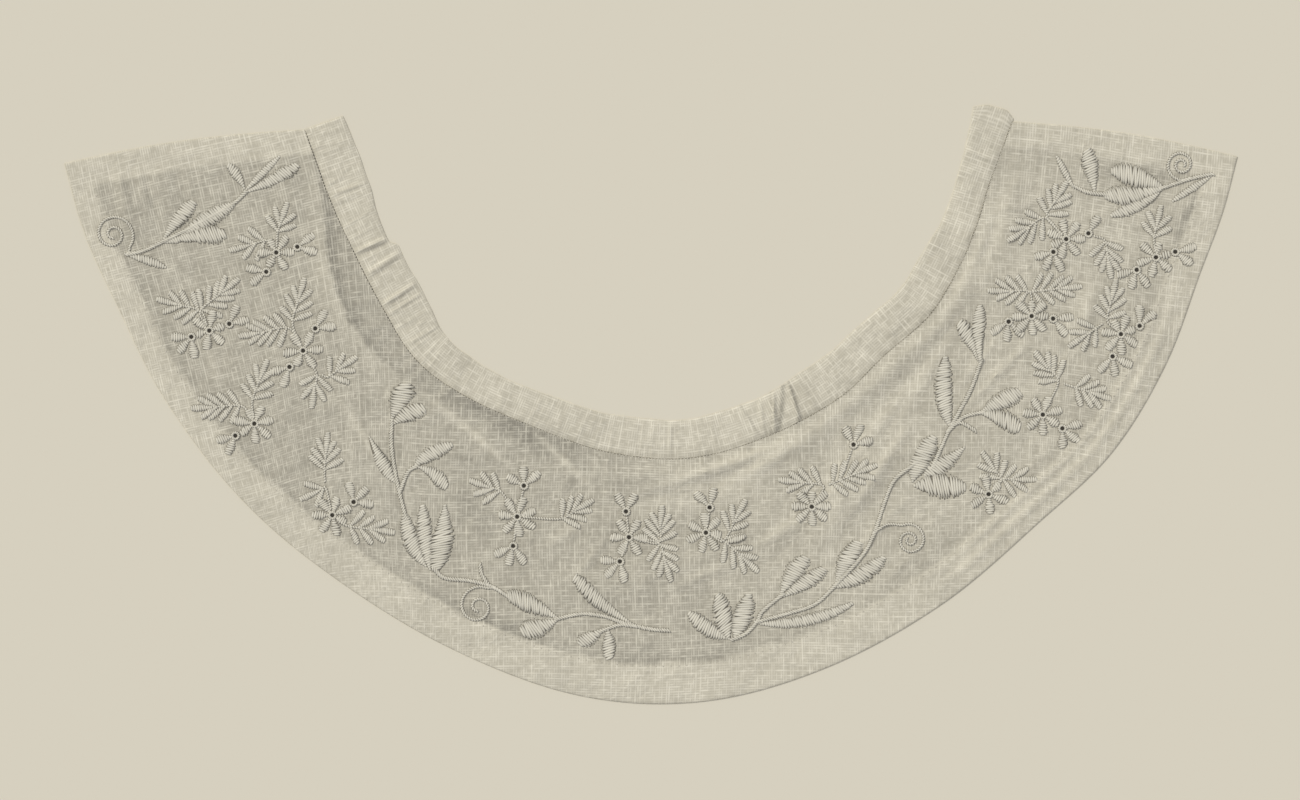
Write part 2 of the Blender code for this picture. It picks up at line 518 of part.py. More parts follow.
def build_collar(finish):
    """The wall's plan has lines along its edges and points on its folds, and is bare between."""
    stops = edge_stops(FRONT_HEM)
    left = [d / LEFT_STEP for d in stops]
    right = [LAST - d / RIGHT_STEP for d in reversed(stops)]
    span = right[0] - left[-1]
    columns = left + [left[-1] + span * i / COLUMNS for i in range(1, COLUMNS)] + right
    plan, heights, edges, place = [], [], [], {}
    for c, at in enumerate(columns):
        width = (edge_point(at) - seam_point(at)).length - 0.5 * SEAM_GAP
        rows = edge_stops(hem_width(at))
        front = c < len(left) or c >= len(columns) - len(right)
        inner = [rows[-1] + (width - rows[-1]) * i / FRONT_ROWS for i in range(1, FRONT_ROWS)]
        for r, inside in enumerate(rows + (inner if front else []) + [width]):
            key = (c, r if inside < width else "seam")
            place[key] = len(plan)
            plan.append(tuple(collar_point(at, inside)))
            heights.append(collar_heights(at, inside))
    for (c, r), here in place.items():
        if (c + 1, r) in place:
            edges.append((here, place[(c + 1, r)]))
        if r != "seam" and (c < len(left) or c >= len(columns) - len(right)):
            edges.append((here, place.get((c, r + 1), place[(c, "seam")])))
    last = len(columns) - 1
    ring = [place[(c, 0)] for c in range(last + 1)]
    up = range(1, len(stops) + FRONT_ROWS - 1)
    ring += [place[(last, r)] for r in up] + [place[(c, "seam")] for c in range(last, -1, -1)]
    ring += [place[(0, r)] for r in reversed(up)]
    for x, y, at, inside in fold_points():
        plan.append((x, y))
        heights.append(collar_heights(at, inside))

    def heights_at(spots, sources, rim, triangles):
        pairs = [heights[source[0]] for source in sources]
        return [low for low, top in pairs], [top for low, top in pairs]

    return relief("collar_panel", plan, edges, [ring], heights_at, finish)


def grid_wall(tops, lows):
    """Points and triangles of a closed wall from two grids of points with the same shape."""
    rows, columns = len(tops), len(tops[0])
    points = [p for row in tops for p in row] + [p for row in lows for p in row]
    under = rows * columns
    faces = []

    def quad(a, b, c, d):
        faces.extend(((a, b, c), (a, c, d)))

    for i in range(rows - 1):
        for j in range(columns - 1):
            a, b = i * columns + j, i * columns + j + 1
            c, d = a + columns, b + columns
            quad(a, b, d, c)
            quad(under + a, under + c, under + d, under + b)
    rim = [(0, j) for j in range(columns)] + [(i, columns - 1) for i in range(1, rows)]
    rim += [(rows - 1, j) for j in range(columns - 2, -1, -1)]
    rim += [(i, 0) for i in range(rows - 2, 0, -1)]
    ring = [i * columns + j for i, j in rim]
    for a, b in zip(ring, ring[1:] + ring[:1]):
        quad(a, under + a, under + b, b)
    return points, faces


def build_strip(name, columns, rows_at, finish):
    """A flat turning on the table: rows_at(column) gives its distances from the outer edge."""
    tops, lows = [], []
    for at in columns:
        spots = [collar_point(at, inside) for inside in rows_at(at)]
        tops.append([(p.x, p.y, HEM_WALL) for p in spots])
        lows.append([(p.x, p.y, 0.0) for p in spots])
    points, faces = grid_wall(tops, lows)
    add_piece(name, points, faces, finish)


def build_hems(finish):
    first, last = HEM_OUTER / LEFT_STEP, LAST - HEM_OUTER / RIGHT_STEP
    around = [first + (last - first) * i / HEM_COLUMNS for i in range(HEM_COLUMNS + 1)]
    build_strip("outer_hem", around, lambda at: (HEM_OUTER, hem_width(at)), finish)

    def up_the_front(at):
        width = (edge_point(at) - seam_point(at)).length
        near = hem_width(at) + SEAM_GAP
        return [near + (width - SEAM_GAP - near) * i / 8 for i in range(9)]

    inner = [HEM_OUTER, FRONT_HEM]
    build_strip("front_hem_left", [d / LEFT_STEP for d in inner], up_the_front, finish)
    build_strip("front_hem_right", [LAST - d / RIGHT_STEP for d in reversed(inner)],
                up_the_front, finish)


def band_width(at):
    width = smooth([r.band for r in SECTIONS], at)
    if at > TUCK_AT:
        width += TUCK_STEP * math.exp((TUCK_AT - at) / TUCK_FADE)
    return width


def band_point(at, share):
    """Plan position across the band: share 0 at the seam, 1 at the neck edge."""
    step = 0.05
    low, high = max(0.0, at - step), min(float(LAST), at + step)
    run = (seam_point(high) - seam_point(low)).normalized()
    inward = Vector((-run.y, run.x))
    return seam_point(at) + inward * (0.5 * SEAM_GAP + share * band_width(at))


def crease_lift(at):
    """Height and sharpness of the cross creases at a place along the band."""
    here = seam_point(at)
    lift = 0.0
    for crease in CREASES:
        off = (here - seam_point(crease.at)).length
        if off < crease.half:
            lift = max(lift, crease.height * (0.5 + 0.5 * math.cos(math.pi * off / crease.half)))
    return lift


def band_columns():
    """Even places along the band, with three more at each crease."""
    columns = [LAST * i / BAND_COLUMNS for i in range(BAND_COLUMNS + 1)]
    for crease in CREASES:
        step = (seam_point(crease.at + 0.5) - seam_point(crease.at - 0.5)).length
        reach = crease.half / step
        columns = [c for c in columns if abs(c - crease.at) > 1.6 * reach]
        columns += [crease.at - reach, crease.at, crease.at + reach]
    return sorted(columns)


def build_band(finish):
    rounded = (seam_point(LAST) - seam_point(LAST - 1)).normalized()
    tops, lows = [], []
    for at in band_columns():
        lift = crease_lift(at)
        top_row, low_row = [], []
        for share, height, reach in BAND_PROFILE:
            spot = band_point(at, share)
            if at == LAST:
                spot += rounded * reach
            swell = lift * math.sin(math.pi * (0.15 + 0.7 * share))
            top_row.append((spot.x, spot.y, height + swell))
            low_row.append((spot.x, spot.y, 0.0))
        tops.append(top_row)
        lows.append(low_row)
    points, faces = grid_wall(tops, lows)
    add_piece("neckband", points, faces, finish)


# A pad of satin stitch: its outline and the raised points inside it, each with its height
Pad = namedtuple("Pad", "outline crowns")

# Half widths along a leaf, as shares of its greatest half width
LEAF_SHARES = (0.0, 0.2, 0.5, 0.8, 1.0)
LEAF_SHAPES = {
    "oval": (0.0, 0.72, 1.0, 0.7, 0.0),
    "drop": (0.0, 0.44, 0.9, 0.96, 0.0),
    "spear": (0.0, 0.86, 0.96, 0.5, 0.0),
}


def small_leaf(root, out, length, width, base):
    """Outline points of a leaflet or petal from its right to its left side, and its crown."""
    side = Vector((-out.y, out.x))
    wide = root + out * 0.6 * length
    outline = [root - side * base / 2, wide - side * width / 2, root + out * length,
               wide + side * width / 2, root + side * base / 2]
    return outline, (root + out * 0.55 * length, PETAL_CROWN)


def ribbon(route, width):
    """Outline points of a stem along its route: the right side out, the left side back."""
    right, left = [], []
    for i, point in enumerate(route):
        run = (route[min(i + 1, len(route) - 1)] - route[max(i - 1, 0)]).normalized()
        side = Vector((-run.y, run.x)) * 0.5 * width
        right.append(point - side)
        left.append(point + side)
    return right, left[::-1]


def leaf_pad(row):
    root, tip = Vector((row.root_x, row.root_y)), Vector((row.tip_x, row.tip_y))
    root -= (tip - root).normalized() * ROOT_OVERLAP
    run = tip - root
    side = Vector((-run.y, run.x)).normalized()
    right, left, crowns = [], [], []
    for share, half in zip(LEAF_SHARES, LEAF_SHAPES[row.shape]):
        spot = root + run * share + side * (4 * row.bow * share * (1 - share))
        right.append(spot - side * 0.5 * row.width * half)
        if half:
            left.append(spot + side * 0.5 * row.width * half)
            if half > 0.7 or run.length > LONG_LEAF:
                crowns.append((spot, LEAF_CROWN * (0.55 + 0.45 * half)))
    return Pad(right + left[::-1], crowns)


def stem_pad(row):
    route = []
    for i in range(len(row.route) - 1):
        length = (Vector(row.route[i + 1]) - Vector(row.route[i])).length
        cuts = max(1, round(length / 9))
        route += [Vector(smooth(row.route, i + j / cuts)) for j in range(cuts)]
    right, left = ribbon(route + [Vector(row.route[-1])], VINE_WIDTH)
    return Pad(right + left, [])


def tendril_pad(row):
    steps = round(abs(row.turns) * 9)
    route = [Vector((row.from_x, row.from_y))]
    for i in range(steps + 1):
        share = i / steps
        radius = row.radius + (row.inner - row.radius) * share
        route.append(Vector((row.x, row.y)) + radius * heading(row.start + 360 * row.turns * share))
    right, left = ribbon(route, STEM_WIDTH)
    return Pad(right + left, [])


def flower_pad(row):
    centre = Vector((row.x, row.y))
    outline, crowns = [], [(centre, EYELET_DIMPLE)]
    for i in range(row.petals):
        turn = row.turn + 360 * i / row.petals
        petal, crown = small_leaf(centre + EYELET_RADIUS * heading(turn), heading(turn),
                                  PETAL_REACH - EYELET_RADIUS, PETAL_WIDTH, 0)
        outline += petal[1:4] + [centre + EYELET_RADIUS * heading(turn + 180 / row.petals)]
        crowns.append(crown)
    return Pad(outline, crowns)


def bud_pad(row):
    """A stalk from a flower to an eyelet, with petals fanned out on its far side."""
    start, centre = Vector((row.from_x, row.from_y)), Vector((row.x, row.y))
    away = (centre - start).normalized()
    first = row.facing - 26 * (row.petals - 1)
    outline = [centre + EYELET_RADIUS * heading(first - 58)]
    crowns = [(centre, EYELET_DIMPLE)]
    for i in range(row.petals):
        turn = first + 52 * i
        petal, crown = small_leaf(centre + EYELET_RADIUS * heading(turn), heading(turn),
                                  0.9 * (PETAL_REACH - EYELET_RADIUS), 0.9 * PETAL_WIDTH, 0)
        outline += petal[1:4]
        after = 26 if i < row.petals - 1 else 58
        outline.append(centre + EYELET_RADIUS * heading(turn + after))
        crowns.append(crown)
    outline.append(centre + EYELET_RADIUS * heading(row.facing + 180))
    right, left = ribbon([start, centre - away * 0.6 * EYELET_RADIUS], STEM_WIDTH)
    return [Pad(right + left, []), Pad(outline, crowns)]


def frond_pad(row):
    """A stalk from a flower to a fork, then pairs of leaflets and one more at the tip."""
    start, fork = Vector((row.from_x, row.from_y)), Vector((row.fork_x, row.fork_y))
    along = heading(row.heading)
    end = fork + along * row.length
    side = Vector((-along.y, along.x)) * 0.5 * STEM_WIDTH
    right, left, crowns = [], [], []
    for i in range(row.pairs):
        share = (i + 0.25) / row.pairs
        root = fork + along * row.length * share
        spread = LEAFLET_SPREAD - 46 * (i + 0.5) / row.pairs
        length = LEAFLET_LENGTH * (1 - 0.1 * share)
        for sign, half in ((-1, right), (1, left)):
            out = heading(row.heading + sign * spread)
            shape, crown = small_leaf(root + side * sign, out, length, LEAFLET_WIDTH, 0)
            shape = [root + side * sign - along * 0.5 * LEAFLET_ROOT] + (
                shape[1:4] if sign < 0 else shape[3:0:-1]
            ) + [root + side * sign + along * 0.5 * LEAFLET_ROOT]
            half += shape
            crowns.append(crown)
    tip, crown = small_leaf(end, along, LEAFLET_LENGTH, LEAFLET_WIDTH, 0)
    pads = [Pad([fork - side] + right + tip[1:4] + left[::-1] + [fork + side], crowns + [crown])]
    if (fork - start).length > 1.5:
        a, b = ribbon([start, fork + along * 0.8], STEM_WIDTH)
        pads.append(Pad(a + b, []))
    return pads


def build_spray(name, pads, cloth, finish):
    """One body from pads that overlap in the plan: a low relief over the cloth."""
    plan, loops, raised = [], [], {}
    for pad in pads:
        loops.append(list(range(len(plan), len(plan) + len(pad.outline))))
        plan += pad.outline
        for spot, height in pad.crowns:
            raised[len(plan)] = height
            plan.append(spot)

    def cloth_top(x, y):
        hit = cloth.ray_cast(Vector((x, y, 20.0)), Vector((0, 0, -1)))
        return hit[0].z if hit[0] is not None else 0.0

    def heights_at(spots, sources, rim, triangles):
        lows = [cloth_top(*spot) + SEAM_GAP for spot in spots]
        shares = [(a / 6, b / 6, (6 - a - b) / 6) for a in range(7) for b in range(7 - a)]
        for t in triangles * 2:
            for share in shares:
                x, y, z = (sum(s * v for s, v in zip(share, values)) for values in (
                    [spots[i].x for i in t], [spots[i].y for i in t], [lows[i] for i in t]))
                short = cloth_top(x, y) + SEAM_GAP - z
                if short > 0:
                    for i in t:
                        lows[i] += short
        tops = []
        for i, low in enumerate(lows):
            own = [raised[s] for s in sources[i] if s in raised]
            height = own[0] if own else PAD_EDGE if i in rim else PAD_INSIDE
            tops.append(low + height)
        return lows, tops

    relief(name, plan, [], loops, heights_at, finish)


def build_embroidery(cloth, finish):
    makers = ((leaf_pad, LEAVES), (stem_pad, STEMS), (tendril_pad, TENDRILS),
              (flower_pad, FLOWERS), (bud_pad, BUDS), (frond_pad, FRONDS))
    for name in sorted({row.spray for maker, table in makers for row in table}):
        pads = []
        for maker, table in makers:
            for row in table:
                if row.spray == name:
                    made = maker(row)
                    pads += made if isinstance(made, list) else [made]
        build_spray(name, pads, cloth, finish)


def centre_on_base():
    """Put the middle of the base of the whole collar's box on the origin."""
    corners = [v.co for piece in bpy.data.objects for v in piece.data.vertices]
    middle = Vector((
        0.5 * (min(c.x for c in corners) + max(c.x for c in corners)),
        0.5 * (min(c.y for c in corners) + max(c.y for c in corners)),
        min(c.z for c in corners),
    ))
    for piece in bpy.data.objects:
        for vertex in piece.data.vertices:
            vertex.co -= middle


def main():
    clear_scene()
    single = material("single_linen", LINEN_SINGLE, 0.85)
    double = material("double_linen", LINEN_DOUBLE, 0.85)
    thread = material("cotton_thread", COTTON_THREAD, 0.6)
    cloth = build_collar(single)
    build_hems(double)
    build_band(double)
    build_embroidery(cloth, thread)
    centre_on_base()


main()
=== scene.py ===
# %% [markdown]
# # A whitework collar of sheer linen
#
# The real object is one crescent of fine linen lawn with a narrow folded strip round its neck.
# Its long outer edge and its two front edges are turned under, and it is worked all over in
# white thread: flowers with eyelet centres, feathery fronds and long stems with fat leaves.
# This notebook dresses the plain solids of the collar: every solid is replaced by a finer
# piece that stands in the same place, and each of those pieces gets a cloth or a thread finish.

import math
from collections import namedtuple

import bpy
import numpy as np
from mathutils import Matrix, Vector
from mathutils.bvhtree import BVHTree


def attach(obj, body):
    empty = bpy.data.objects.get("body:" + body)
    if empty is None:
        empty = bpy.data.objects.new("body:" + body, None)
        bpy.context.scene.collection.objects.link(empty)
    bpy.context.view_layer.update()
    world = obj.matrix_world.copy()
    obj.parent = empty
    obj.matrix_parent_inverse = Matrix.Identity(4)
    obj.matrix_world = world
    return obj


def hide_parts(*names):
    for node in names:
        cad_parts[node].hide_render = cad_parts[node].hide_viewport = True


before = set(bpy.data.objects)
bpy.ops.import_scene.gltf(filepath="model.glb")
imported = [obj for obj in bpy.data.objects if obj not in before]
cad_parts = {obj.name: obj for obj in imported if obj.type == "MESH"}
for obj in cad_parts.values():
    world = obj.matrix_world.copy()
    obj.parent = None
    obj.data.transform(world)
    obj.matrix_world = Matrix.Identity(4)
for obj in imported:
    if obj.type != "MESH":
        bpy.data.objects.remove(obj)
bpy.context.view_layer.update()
scene = bpy.context.scene
MM = 0.001
print("solids:", len(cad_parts))

# %% [markdown]
# ## Helpers
#
# Colours are easiest to compare as the hex values that a picture editor shows, but Blender
# wants linear light, so one function converts them. Materials and Geometry Nodes are both
# built from nodes, and one small function adds a node with its settings and its links. The
# others save writing out the same steps for every sum, material and object.


# %% Colour, node and object helpers
def linear(code):
    """A hex colour such as C7C1B1 as linear red, green, blue and alpha."""
    parts = [int(code[i:i + 2], 16) / 255 for i in (0, 2, 4)]
    return (*[c / 12.92 if c <= 0.04045 else ((c + 0.055) / 1.055) ** 2.4 for c in parts], 1.0)


def add(tree, kind, settings=(), **inputs):
    """A new node. Inputs are given by name, with _ for a space, as values or as sockets."""
    node = tree.nodes.new(kind)
    for key, value in dict(settings).items():
        setattr(node, key, value)
    for key, value in inputs.items():
        if key.startswith("in") and key[2:].isdigit():
            socket = node.inputs[int(key[2:])]
        else:
            name = key.replace("_", " ")
            socket = next(s for s in node.inputs if s.name == name and s.enabled)
        if isinstance(value, bpy.types.NodeSocket):
            tree.links.new(value, socket)
        else:
            socket.default_value = value
    return next(s for s in node.outputs if s.enabled)


def maths(tree, operation, *values, clamp=False):
    """A Math node over values or sockets."""
    return add(tree, "ShaderNodeMath", {"operation": operation, "use_clamp": clamp},
               **{f"in{i}": value for i, value in enumerate(values)})


def attribute(tree, name):
    """A number that the points of the mesh carry."""
    return add(tree, "ShaderNodeAttribute", {"attribute_name": name}).node.outputs["Fac"]


def mixed(tree, factor, low, high):
    """A colour between two others."""
    return add(tree, "ShaderNodeMix", {"data_type": "RGBA"}, Factor=factor, in6=low,
               in7=high).node.outputs[2]


def new_material(name, **values):
    """(material, its tree, its shader's inputs). values set some of those inputs."""
    made = bpy.data.materials.new(name)
    made.use_nodes = True
    sockets = made.node_tree.nodes["Principled BSDF"].inputs
    for key, value in values.items():
        sockets[key.replace("_", " ")].default_value = value
    return made, made.node_tree, sockets


def new_object(name, mesh, finish):
    """An object at the origin. mesh is a mesh, or points in metres and faces."""
    if isinstance(mesh, tuple):
        points, faces = mesh
        mesh = bpy.data.meshes.new(name)
        mesh.from_pydata(points, [], faces)
    mesh.materials.clear()
    mesh.materials.append(finish)
    made = bpy.data.objects.new(name, mesh)
    scene.collection.objects.link(made)
    return made


TABLE_COLOUR = linear("DCD6C6")
print("the table in linear light:", [round(c, 3) for c in TABLE_COLOUR])

# %% [markdown]
# ## The table, the light and the camera
#
# The collar was drawn from straight above, lying on pale paper, with soft light from the upper
# left. A long lens high above the middle keeps every part of it seen square on. A broad sun
# gives the relief its soft shading and a pale sky fills the shadows.

# %% Table, light and camera
FRAME_WIDTH = 520.0  # millimetres of table across the picture
CAMERA_X, CAMERA_Y, CAMERA_HEIGHT = -0.4, 1.74, 2.2  # millimetres, but the height in metres
SENSOR = 36.0
SKY, SKY_STRENGTH = "FAFBFF", 0.56
SUN, SUN_STRENGTH, SUN_WIDTH = "FFFCF2", 1.84, 22  # the width in degrees
SUN_FROM = (-0.62, 0.62, 0.84)
TABLE_HALF = 3  # metres

scene.view_settings.view_transform = "Standard"
scene.view_settings.look = "None"

lens = bpy.data.cameras.new("above")
lens.sensor_width = SENSOR
lens.lens = SENSOR * CAMERA_HEIGHT / (FRAME_WIDTH * MM)
camera = bpy.data.objects.new("above", lens)
camera.location = (CAMERA_X * MM, CAMERA_Y * MM, CAMERA_HEIGHT)
scene.collection.objects.link(camera)
scene.camera = camera

sky = bpy.data.worlds.new("pale_sky")
sky.use_nodes = True
sky.node_tree.nodes["Background"].inputs["Color"].default_value = linear(SKY)
sky.node_tree.nodes["Background"].inputs["Strength"].default_value = SKY_STRENGTH
scene.world = sky

sun = bpy.data.lights.new("window", "SUN")
sun.energy, sun.angle, sun.color = SUN_STRENGTH, math.radians(SUN_WIDTH), linear(SUN)[:3]
window = bpy.data.objects.new("window", sun)
window.rotation_euler = Vector(SUN_FROM).to_track_quat("Z", "Y").to_euler()
scene.collection.objects.link(window)

# a dead matt surface with no pattern
paper = new_material("matt_cream_card", Base_Color=TABLE_COLOUR, Roughness=0.95,
                     Specular_IOR_Level=0.1)[0]
corners = [(-1, -1, 0), (1, -1, 0), (1, 1, 0), (-1, 1, 0)]
table = new_object("table", ([Vector(c) * TABLE_HALF for c in corners], [(0, 1, 2, 3)]), paper)
print("lens:", round(lens.lens, 1), "mm")

# %% [markdown]
# ## The collar's own sizes
#
# A crescent is easiest to describe by sections that run from the neck seam to the outer edge.
# The table gives both ends of seventeen of them in millimetres, the width of the turning at
# each and the width of the neckband. A place on the collar is then two numbers: how far along
# it lies, counted in sections, and how far in from the outer edge.

# %% Sections of the collar
Section = namedtuple("Section", "name seam_x seam_y edge_x edge_y hem band")
SECTIONS = (
    Section("left_front", -138.6, 109.5, -234.6, 96.0, 9.5, 16.3),
    Section("left_chest", -129.0, 82.7, -226.2, 67.1, 9.5, 17.3),
    Section("left_breast", -120.2, 63.1, -213.0, 38.3, 10.0, 14.4),
    Section("left_side", -108.2, 39.5, -195.0, 2.7, 10.5, 16.6),
    Section("left_arm", -94.2, 17.5, -166.6, -35.3, 12.5, 15.4),
    Section("left_shoulder", -74.2, 2.7, -132.2, -65.7, 14.0, 14.0),
    Section("left_nape", -46.2, -9.7, -84.2, -95.9, 14.0, 13.8),
    Section("left_back", -16.6, -19.7, -31.0, -116.3, 15.0, 15.2),
    Section("right_back", 15.8, -21.9, 19.8, -119.3, 15.5, 15.6),
    Section("right_nape", 47.4, -12.9, 69.8, -105.8, 15.0, 15.6),
    Section("right_shoulder", 75.0, 1.9, 116.6, -80.1, 14.0, 17.0),
    Section("right_arm", 93.8, 19.5, 155.8, -46.9, 13.5, 15.4),
    Section("right_side", 111.8, 35.5, 184.6, -19.3, 13.0, 16.0),
    Section("right_breast", 123.8, 55.5, 205.8, 15.5, 12.5, 15.2),
    Section("right_chest", 130.6, 71.9, 219.8, 52.7, 12.0, 13.6),
    Section("right_collarbone", 135.8, 88.7, 228.6, 76.3, 11.0, 13.0),
    Section("right_front", 144.6, 112.7, 234.6, 98.7, 10.5, 16.6),
)
LAST = len(SECTIONS) - 1
LEFT_STEP, RIGHT_STEP = 29.0, 24.0  # millimetres from a front edge to the next section
FRONT_BOW = 2.4  # the front edges bow out by this much
FRONT_HEM = 9.5
SHIFT_Y = 0.34  # the solids were moved by this much to centre them on their base


def along(rows, at):
    """A Catmull-Rom curve through the rows of a table, at places counted in rows."""
    rows = np.asarray(rows, float).reshape(len(rows), -1)
    rows = np.vstack((2 * rows[0] - rows[1], rows, 2 * rows[-1] - rows[-2]))
    at = np.atleast_1d(np.asarray(at, float))
    i = np.clip(at.astype(int), 0, len(rows) - 4)
    u = (at - i)[:, None]
    a, b, c, d = (rows[i + k] for k in range(4))
    return 0.5 * (2 * b + (c - a) * u + (2 * a - 5 * b + 4 * c - d) * u**2
                  + (3 * b - a - 3 * c + d) * u**3)


SEAM = np.array([(r.seam_x, r.seam_y) for r in SECTIONS])
EDGE = np.array([(r.edge_x, r.edge_y) for r in SECTIONS])
HEM = np.array([r.hem for r in SECTIONS])
BAND = np.array([r.band for r in SECTIONS])


def widths(at):
    """Distance from the outer edge to the neck seam."""
    return np.linalg.norm(along(EDGE, at) - along(SEAM, at), axis=1)


def from_front(at):
    return np.minimum(at * LEFT_STEP, (LAST - at) * RIGHT_STEP)


def unit(vector):
    return vector / np.linalg.norm(vector)


def collar_plan(at, inside):
    """Plan positions in millimetres of places on the collar."""
    seam, edge = along(SEAM, at), along(EDGE, at)
    share = 1 - inside / np.linalg.norm(edge - seam, axis=1)
    bow = FRONT_BOW * np.sin(np.pi * np.clip(share, 0, 1))
    left = unit(EDGE[0] - along(EDGE, 1)[0])
    right = unit(EDGE[LAST] - along(EDGE, LAST - 1)[0])
    spot = seam + (edge - seam) * share[:, None]
    spot = spot + left * (bow * np.clip(1 - at, 0, 1) ** 2)[:, None]
    return spot + right * (bow * np.clip(at - LAST + 1, 0, 1) ** 2)[:, None]


print("depth at the back:", round(float(widths(np.array([7.5]))[0])), "mm")

# %% [markdown]
# ## Soft folds
#
# The collar has been folded and worn, so it doesn't lie quite flat. Long soft ridges cross it
# from the neck towards the outer edge. The same ridges are in the solids, where they are higher
# and narrower. A cosine is a good cross-section for one, because it meets the cloth beside it
# without a step. What follows is in the scene alone, because it is so low. Many short,
# low ridges run out from the seam, where the neckband gathers the lawn; a random generator with
# a fixed seed places those. One long fold beside the left of the neck is steep on its inner
# side. Streaks are small ridges, or only bands of the cloth, and each carries a tone of painted
# light and shade: lighter where it stands for light, darker where it stands for shade.

# %% Folds and gathers
Fold = namedtuple("Fold", "x0 y0 x1 y1 height half bow")
FOLDS = [Fold(*row) for row in (  # the left side, the back, then the right side
    (-140.2, 63.5, -106.2, 19.5, 2.7, 8.5, 2), (-111.4, 25.5, -70.2, -26.5, 2.4, 8.5, -3),
    (-128.2, -12.5, -100.2, -46.5, 2.2, 8, 1), (-212, 96, -206, 66, 1.9, 6, 0),
    (-198, 99, -191, 70, 2.1, 6, 0), (-150, 107, -141, 74, 2.1, 6.5, 0),
    (-44.2, -76.5, 37.8, -54.5, 2.1, 9, -4), (-24.2, -32.5, 59.8, -8.5, 3.2, 8.5, -3),
    (33.8, -34.5, 139.8, 56.7, 3.5, 9, 0), (60, -60, 106, -12, 2.9, 8.5, 2),
    (132, -50, 178, -10, 2.4, 7.5, 0), (168, 20, 179, 48, 2.2, 7, 1),
    (148, 92, 140, 58, 1.9, 6, 0),
)]
Streak = namedtuple("Streak", "x0 y0 x1 y1 half bow lift tone")  # tone: painted light above 0, painted shade below 0
STREAKS = [Streak(*row) for row in (  # the lift is 0 where a streak only paints light and shade
    (-134, 96, -112, 36, 5, 2, 0, -0.3), (-114, 42, -84, 2, 6, 3, 0, -0.35),
    (-96, 14, -20, -24, 8, -1, 0, -0.95), (-142, 72, -122, 38, 4, 0, 0.7, 0.25),
    (-124, 2, -106, -28, 2.2, 0, 0.9, 0.7), (-108, 8, -90, -26, 3.2, 0, 0.8, 0.2),
    (-94, 6, -54, -28, 1.9, 1, 1, 1.05), (-50, -9, -22, -35, 1.9, 0, 1, 1.2),
    (-32, -71, -16, -52, 2.4, 0, 1, 0.35), (-80, -32, -62, -52, 6, 0, 0, -0.5),
    (-179, 28, -171, 4, 2.8, 0, 0.9, 0.5), (-14, -37.5, 64, -11, 2.8, -2, 1.3, 0.8),
    (-22, -44, 52, -30, 7, 0, 0, 0.6), (-26, -103, 44, -106, 9, 0, 0, -0.3),
    (-94, -78, -40, -97, 5, 0, 0, -0.7), (34, -31, 66, -12, 2.4, 0, 1.1, 0.7),
    (-46, -60, -18, -42, 3, 0, 0.9, 0.4), (4, -76, 36, -62, 2.6, 0, 1, 0.4),
    (38, -60, 66, -42, 2.6, 0, 1.1, 0.6), (62, -46, 118, 20, 4.6, 2, 1, 0.35),
    (92, -20, 134, 44, 4.6, 2, 0.9, 0.3), (112, 28, 139, 84, 3.4, -3, 1, 0.5),
    (50, -56, 92, -16, 3, 0, 0.7, 0.15), (76, -66, 104, -36, 3, 0, 0.7, 0.15),
    (172, 12, 176, 50, 3.6, 0, 0.6, 0.3), (124, -4, 152, 26, 1.8, 0, 1.1, 0.4),
    (122, 6, 142, 30, 2, 0, 0.9, 0.4), (80, -44, 106, -4, 3, 0, 1.1, 0.6),
    (147, 104, 130, 40, 4, 0, 0, 0.5), (116, -64, 160, -36, 6, 0, 0, 0.5),
    (208, 60, 222, 92, 3, 0, 0, -0.8), (150, 102.4, 182, 107.4, 2.6, 1, 1.5, 0.1),
    (172, 95, 218, 90, 3, -1, 0, -0.8), (-213.5, 104, -206.5, 68, 1, 0, 0, -0.45),
    (-205.5, 105, -197.5, 66, 1, 0, 0, -0.45), (-215.5, 104, -209, 68, 2.4, 0, 0.9, 0.2),
    (-207.5, 105, -199.5, 66, 2.4, 0, 0.9, 0.2), (-190, 106, -182, 76, 2.4, 0, 0.8, 0.1),
    (-186, 96, -170, 44, 5, 0, 0.5, 0.15), (-160, 50, -138, 4, 5, 0, 0.6, 0.15)
)]
EDGE_RIDGES = ((6.6, 2.4, 1.0), (12.0, 2.4, 0.9))  # distance from the edge, half width, height
RIDGES_START, RIDGES_END = (9.6, 1.2), (14.2, 1.5)  # the place and the fade, in sections
LEDGE = ((-138.0, 108.0), (-131.3, 81.4), (-128.6, 57.0), (-121.5, 35.0), (-109.0, 19.0),
         (-92.0, 4.0))
LEDGE_POINTS = 80
LEDGE_HEIGHT, LEDGE_GENTLE, LEDGE_STEEP, LEDGE_SHADE = 1.7, 11.0, 2.6, 9.0
FADE_AT_SEAM, FADE_AT_HEM, HEM_RAMP = 7.0, 6.0, 2.6
FADE_AT_EDGE, FINE_FROM, FINE_FADE = 5.0, 4.0, 8.0
SOFTER, WIDER = 0.62, 1.3  # the folds of the lawn over those of the solids
GATHERS = 120
GATHER_LENGTHS, GATHER_HEIGHTS, GATHER_HALVES = (9, 34), (0.12, 0.5), (1.6, 3.4)
GATHER_TURN = 0.22  # radians, from the straight way to the outer edge
WAVES = ((46, 0.10, 0.4), (29, 0.08, 1.9), (17, 0.05, 2.6), (11, 0.03, 1.1))  # length, size, way

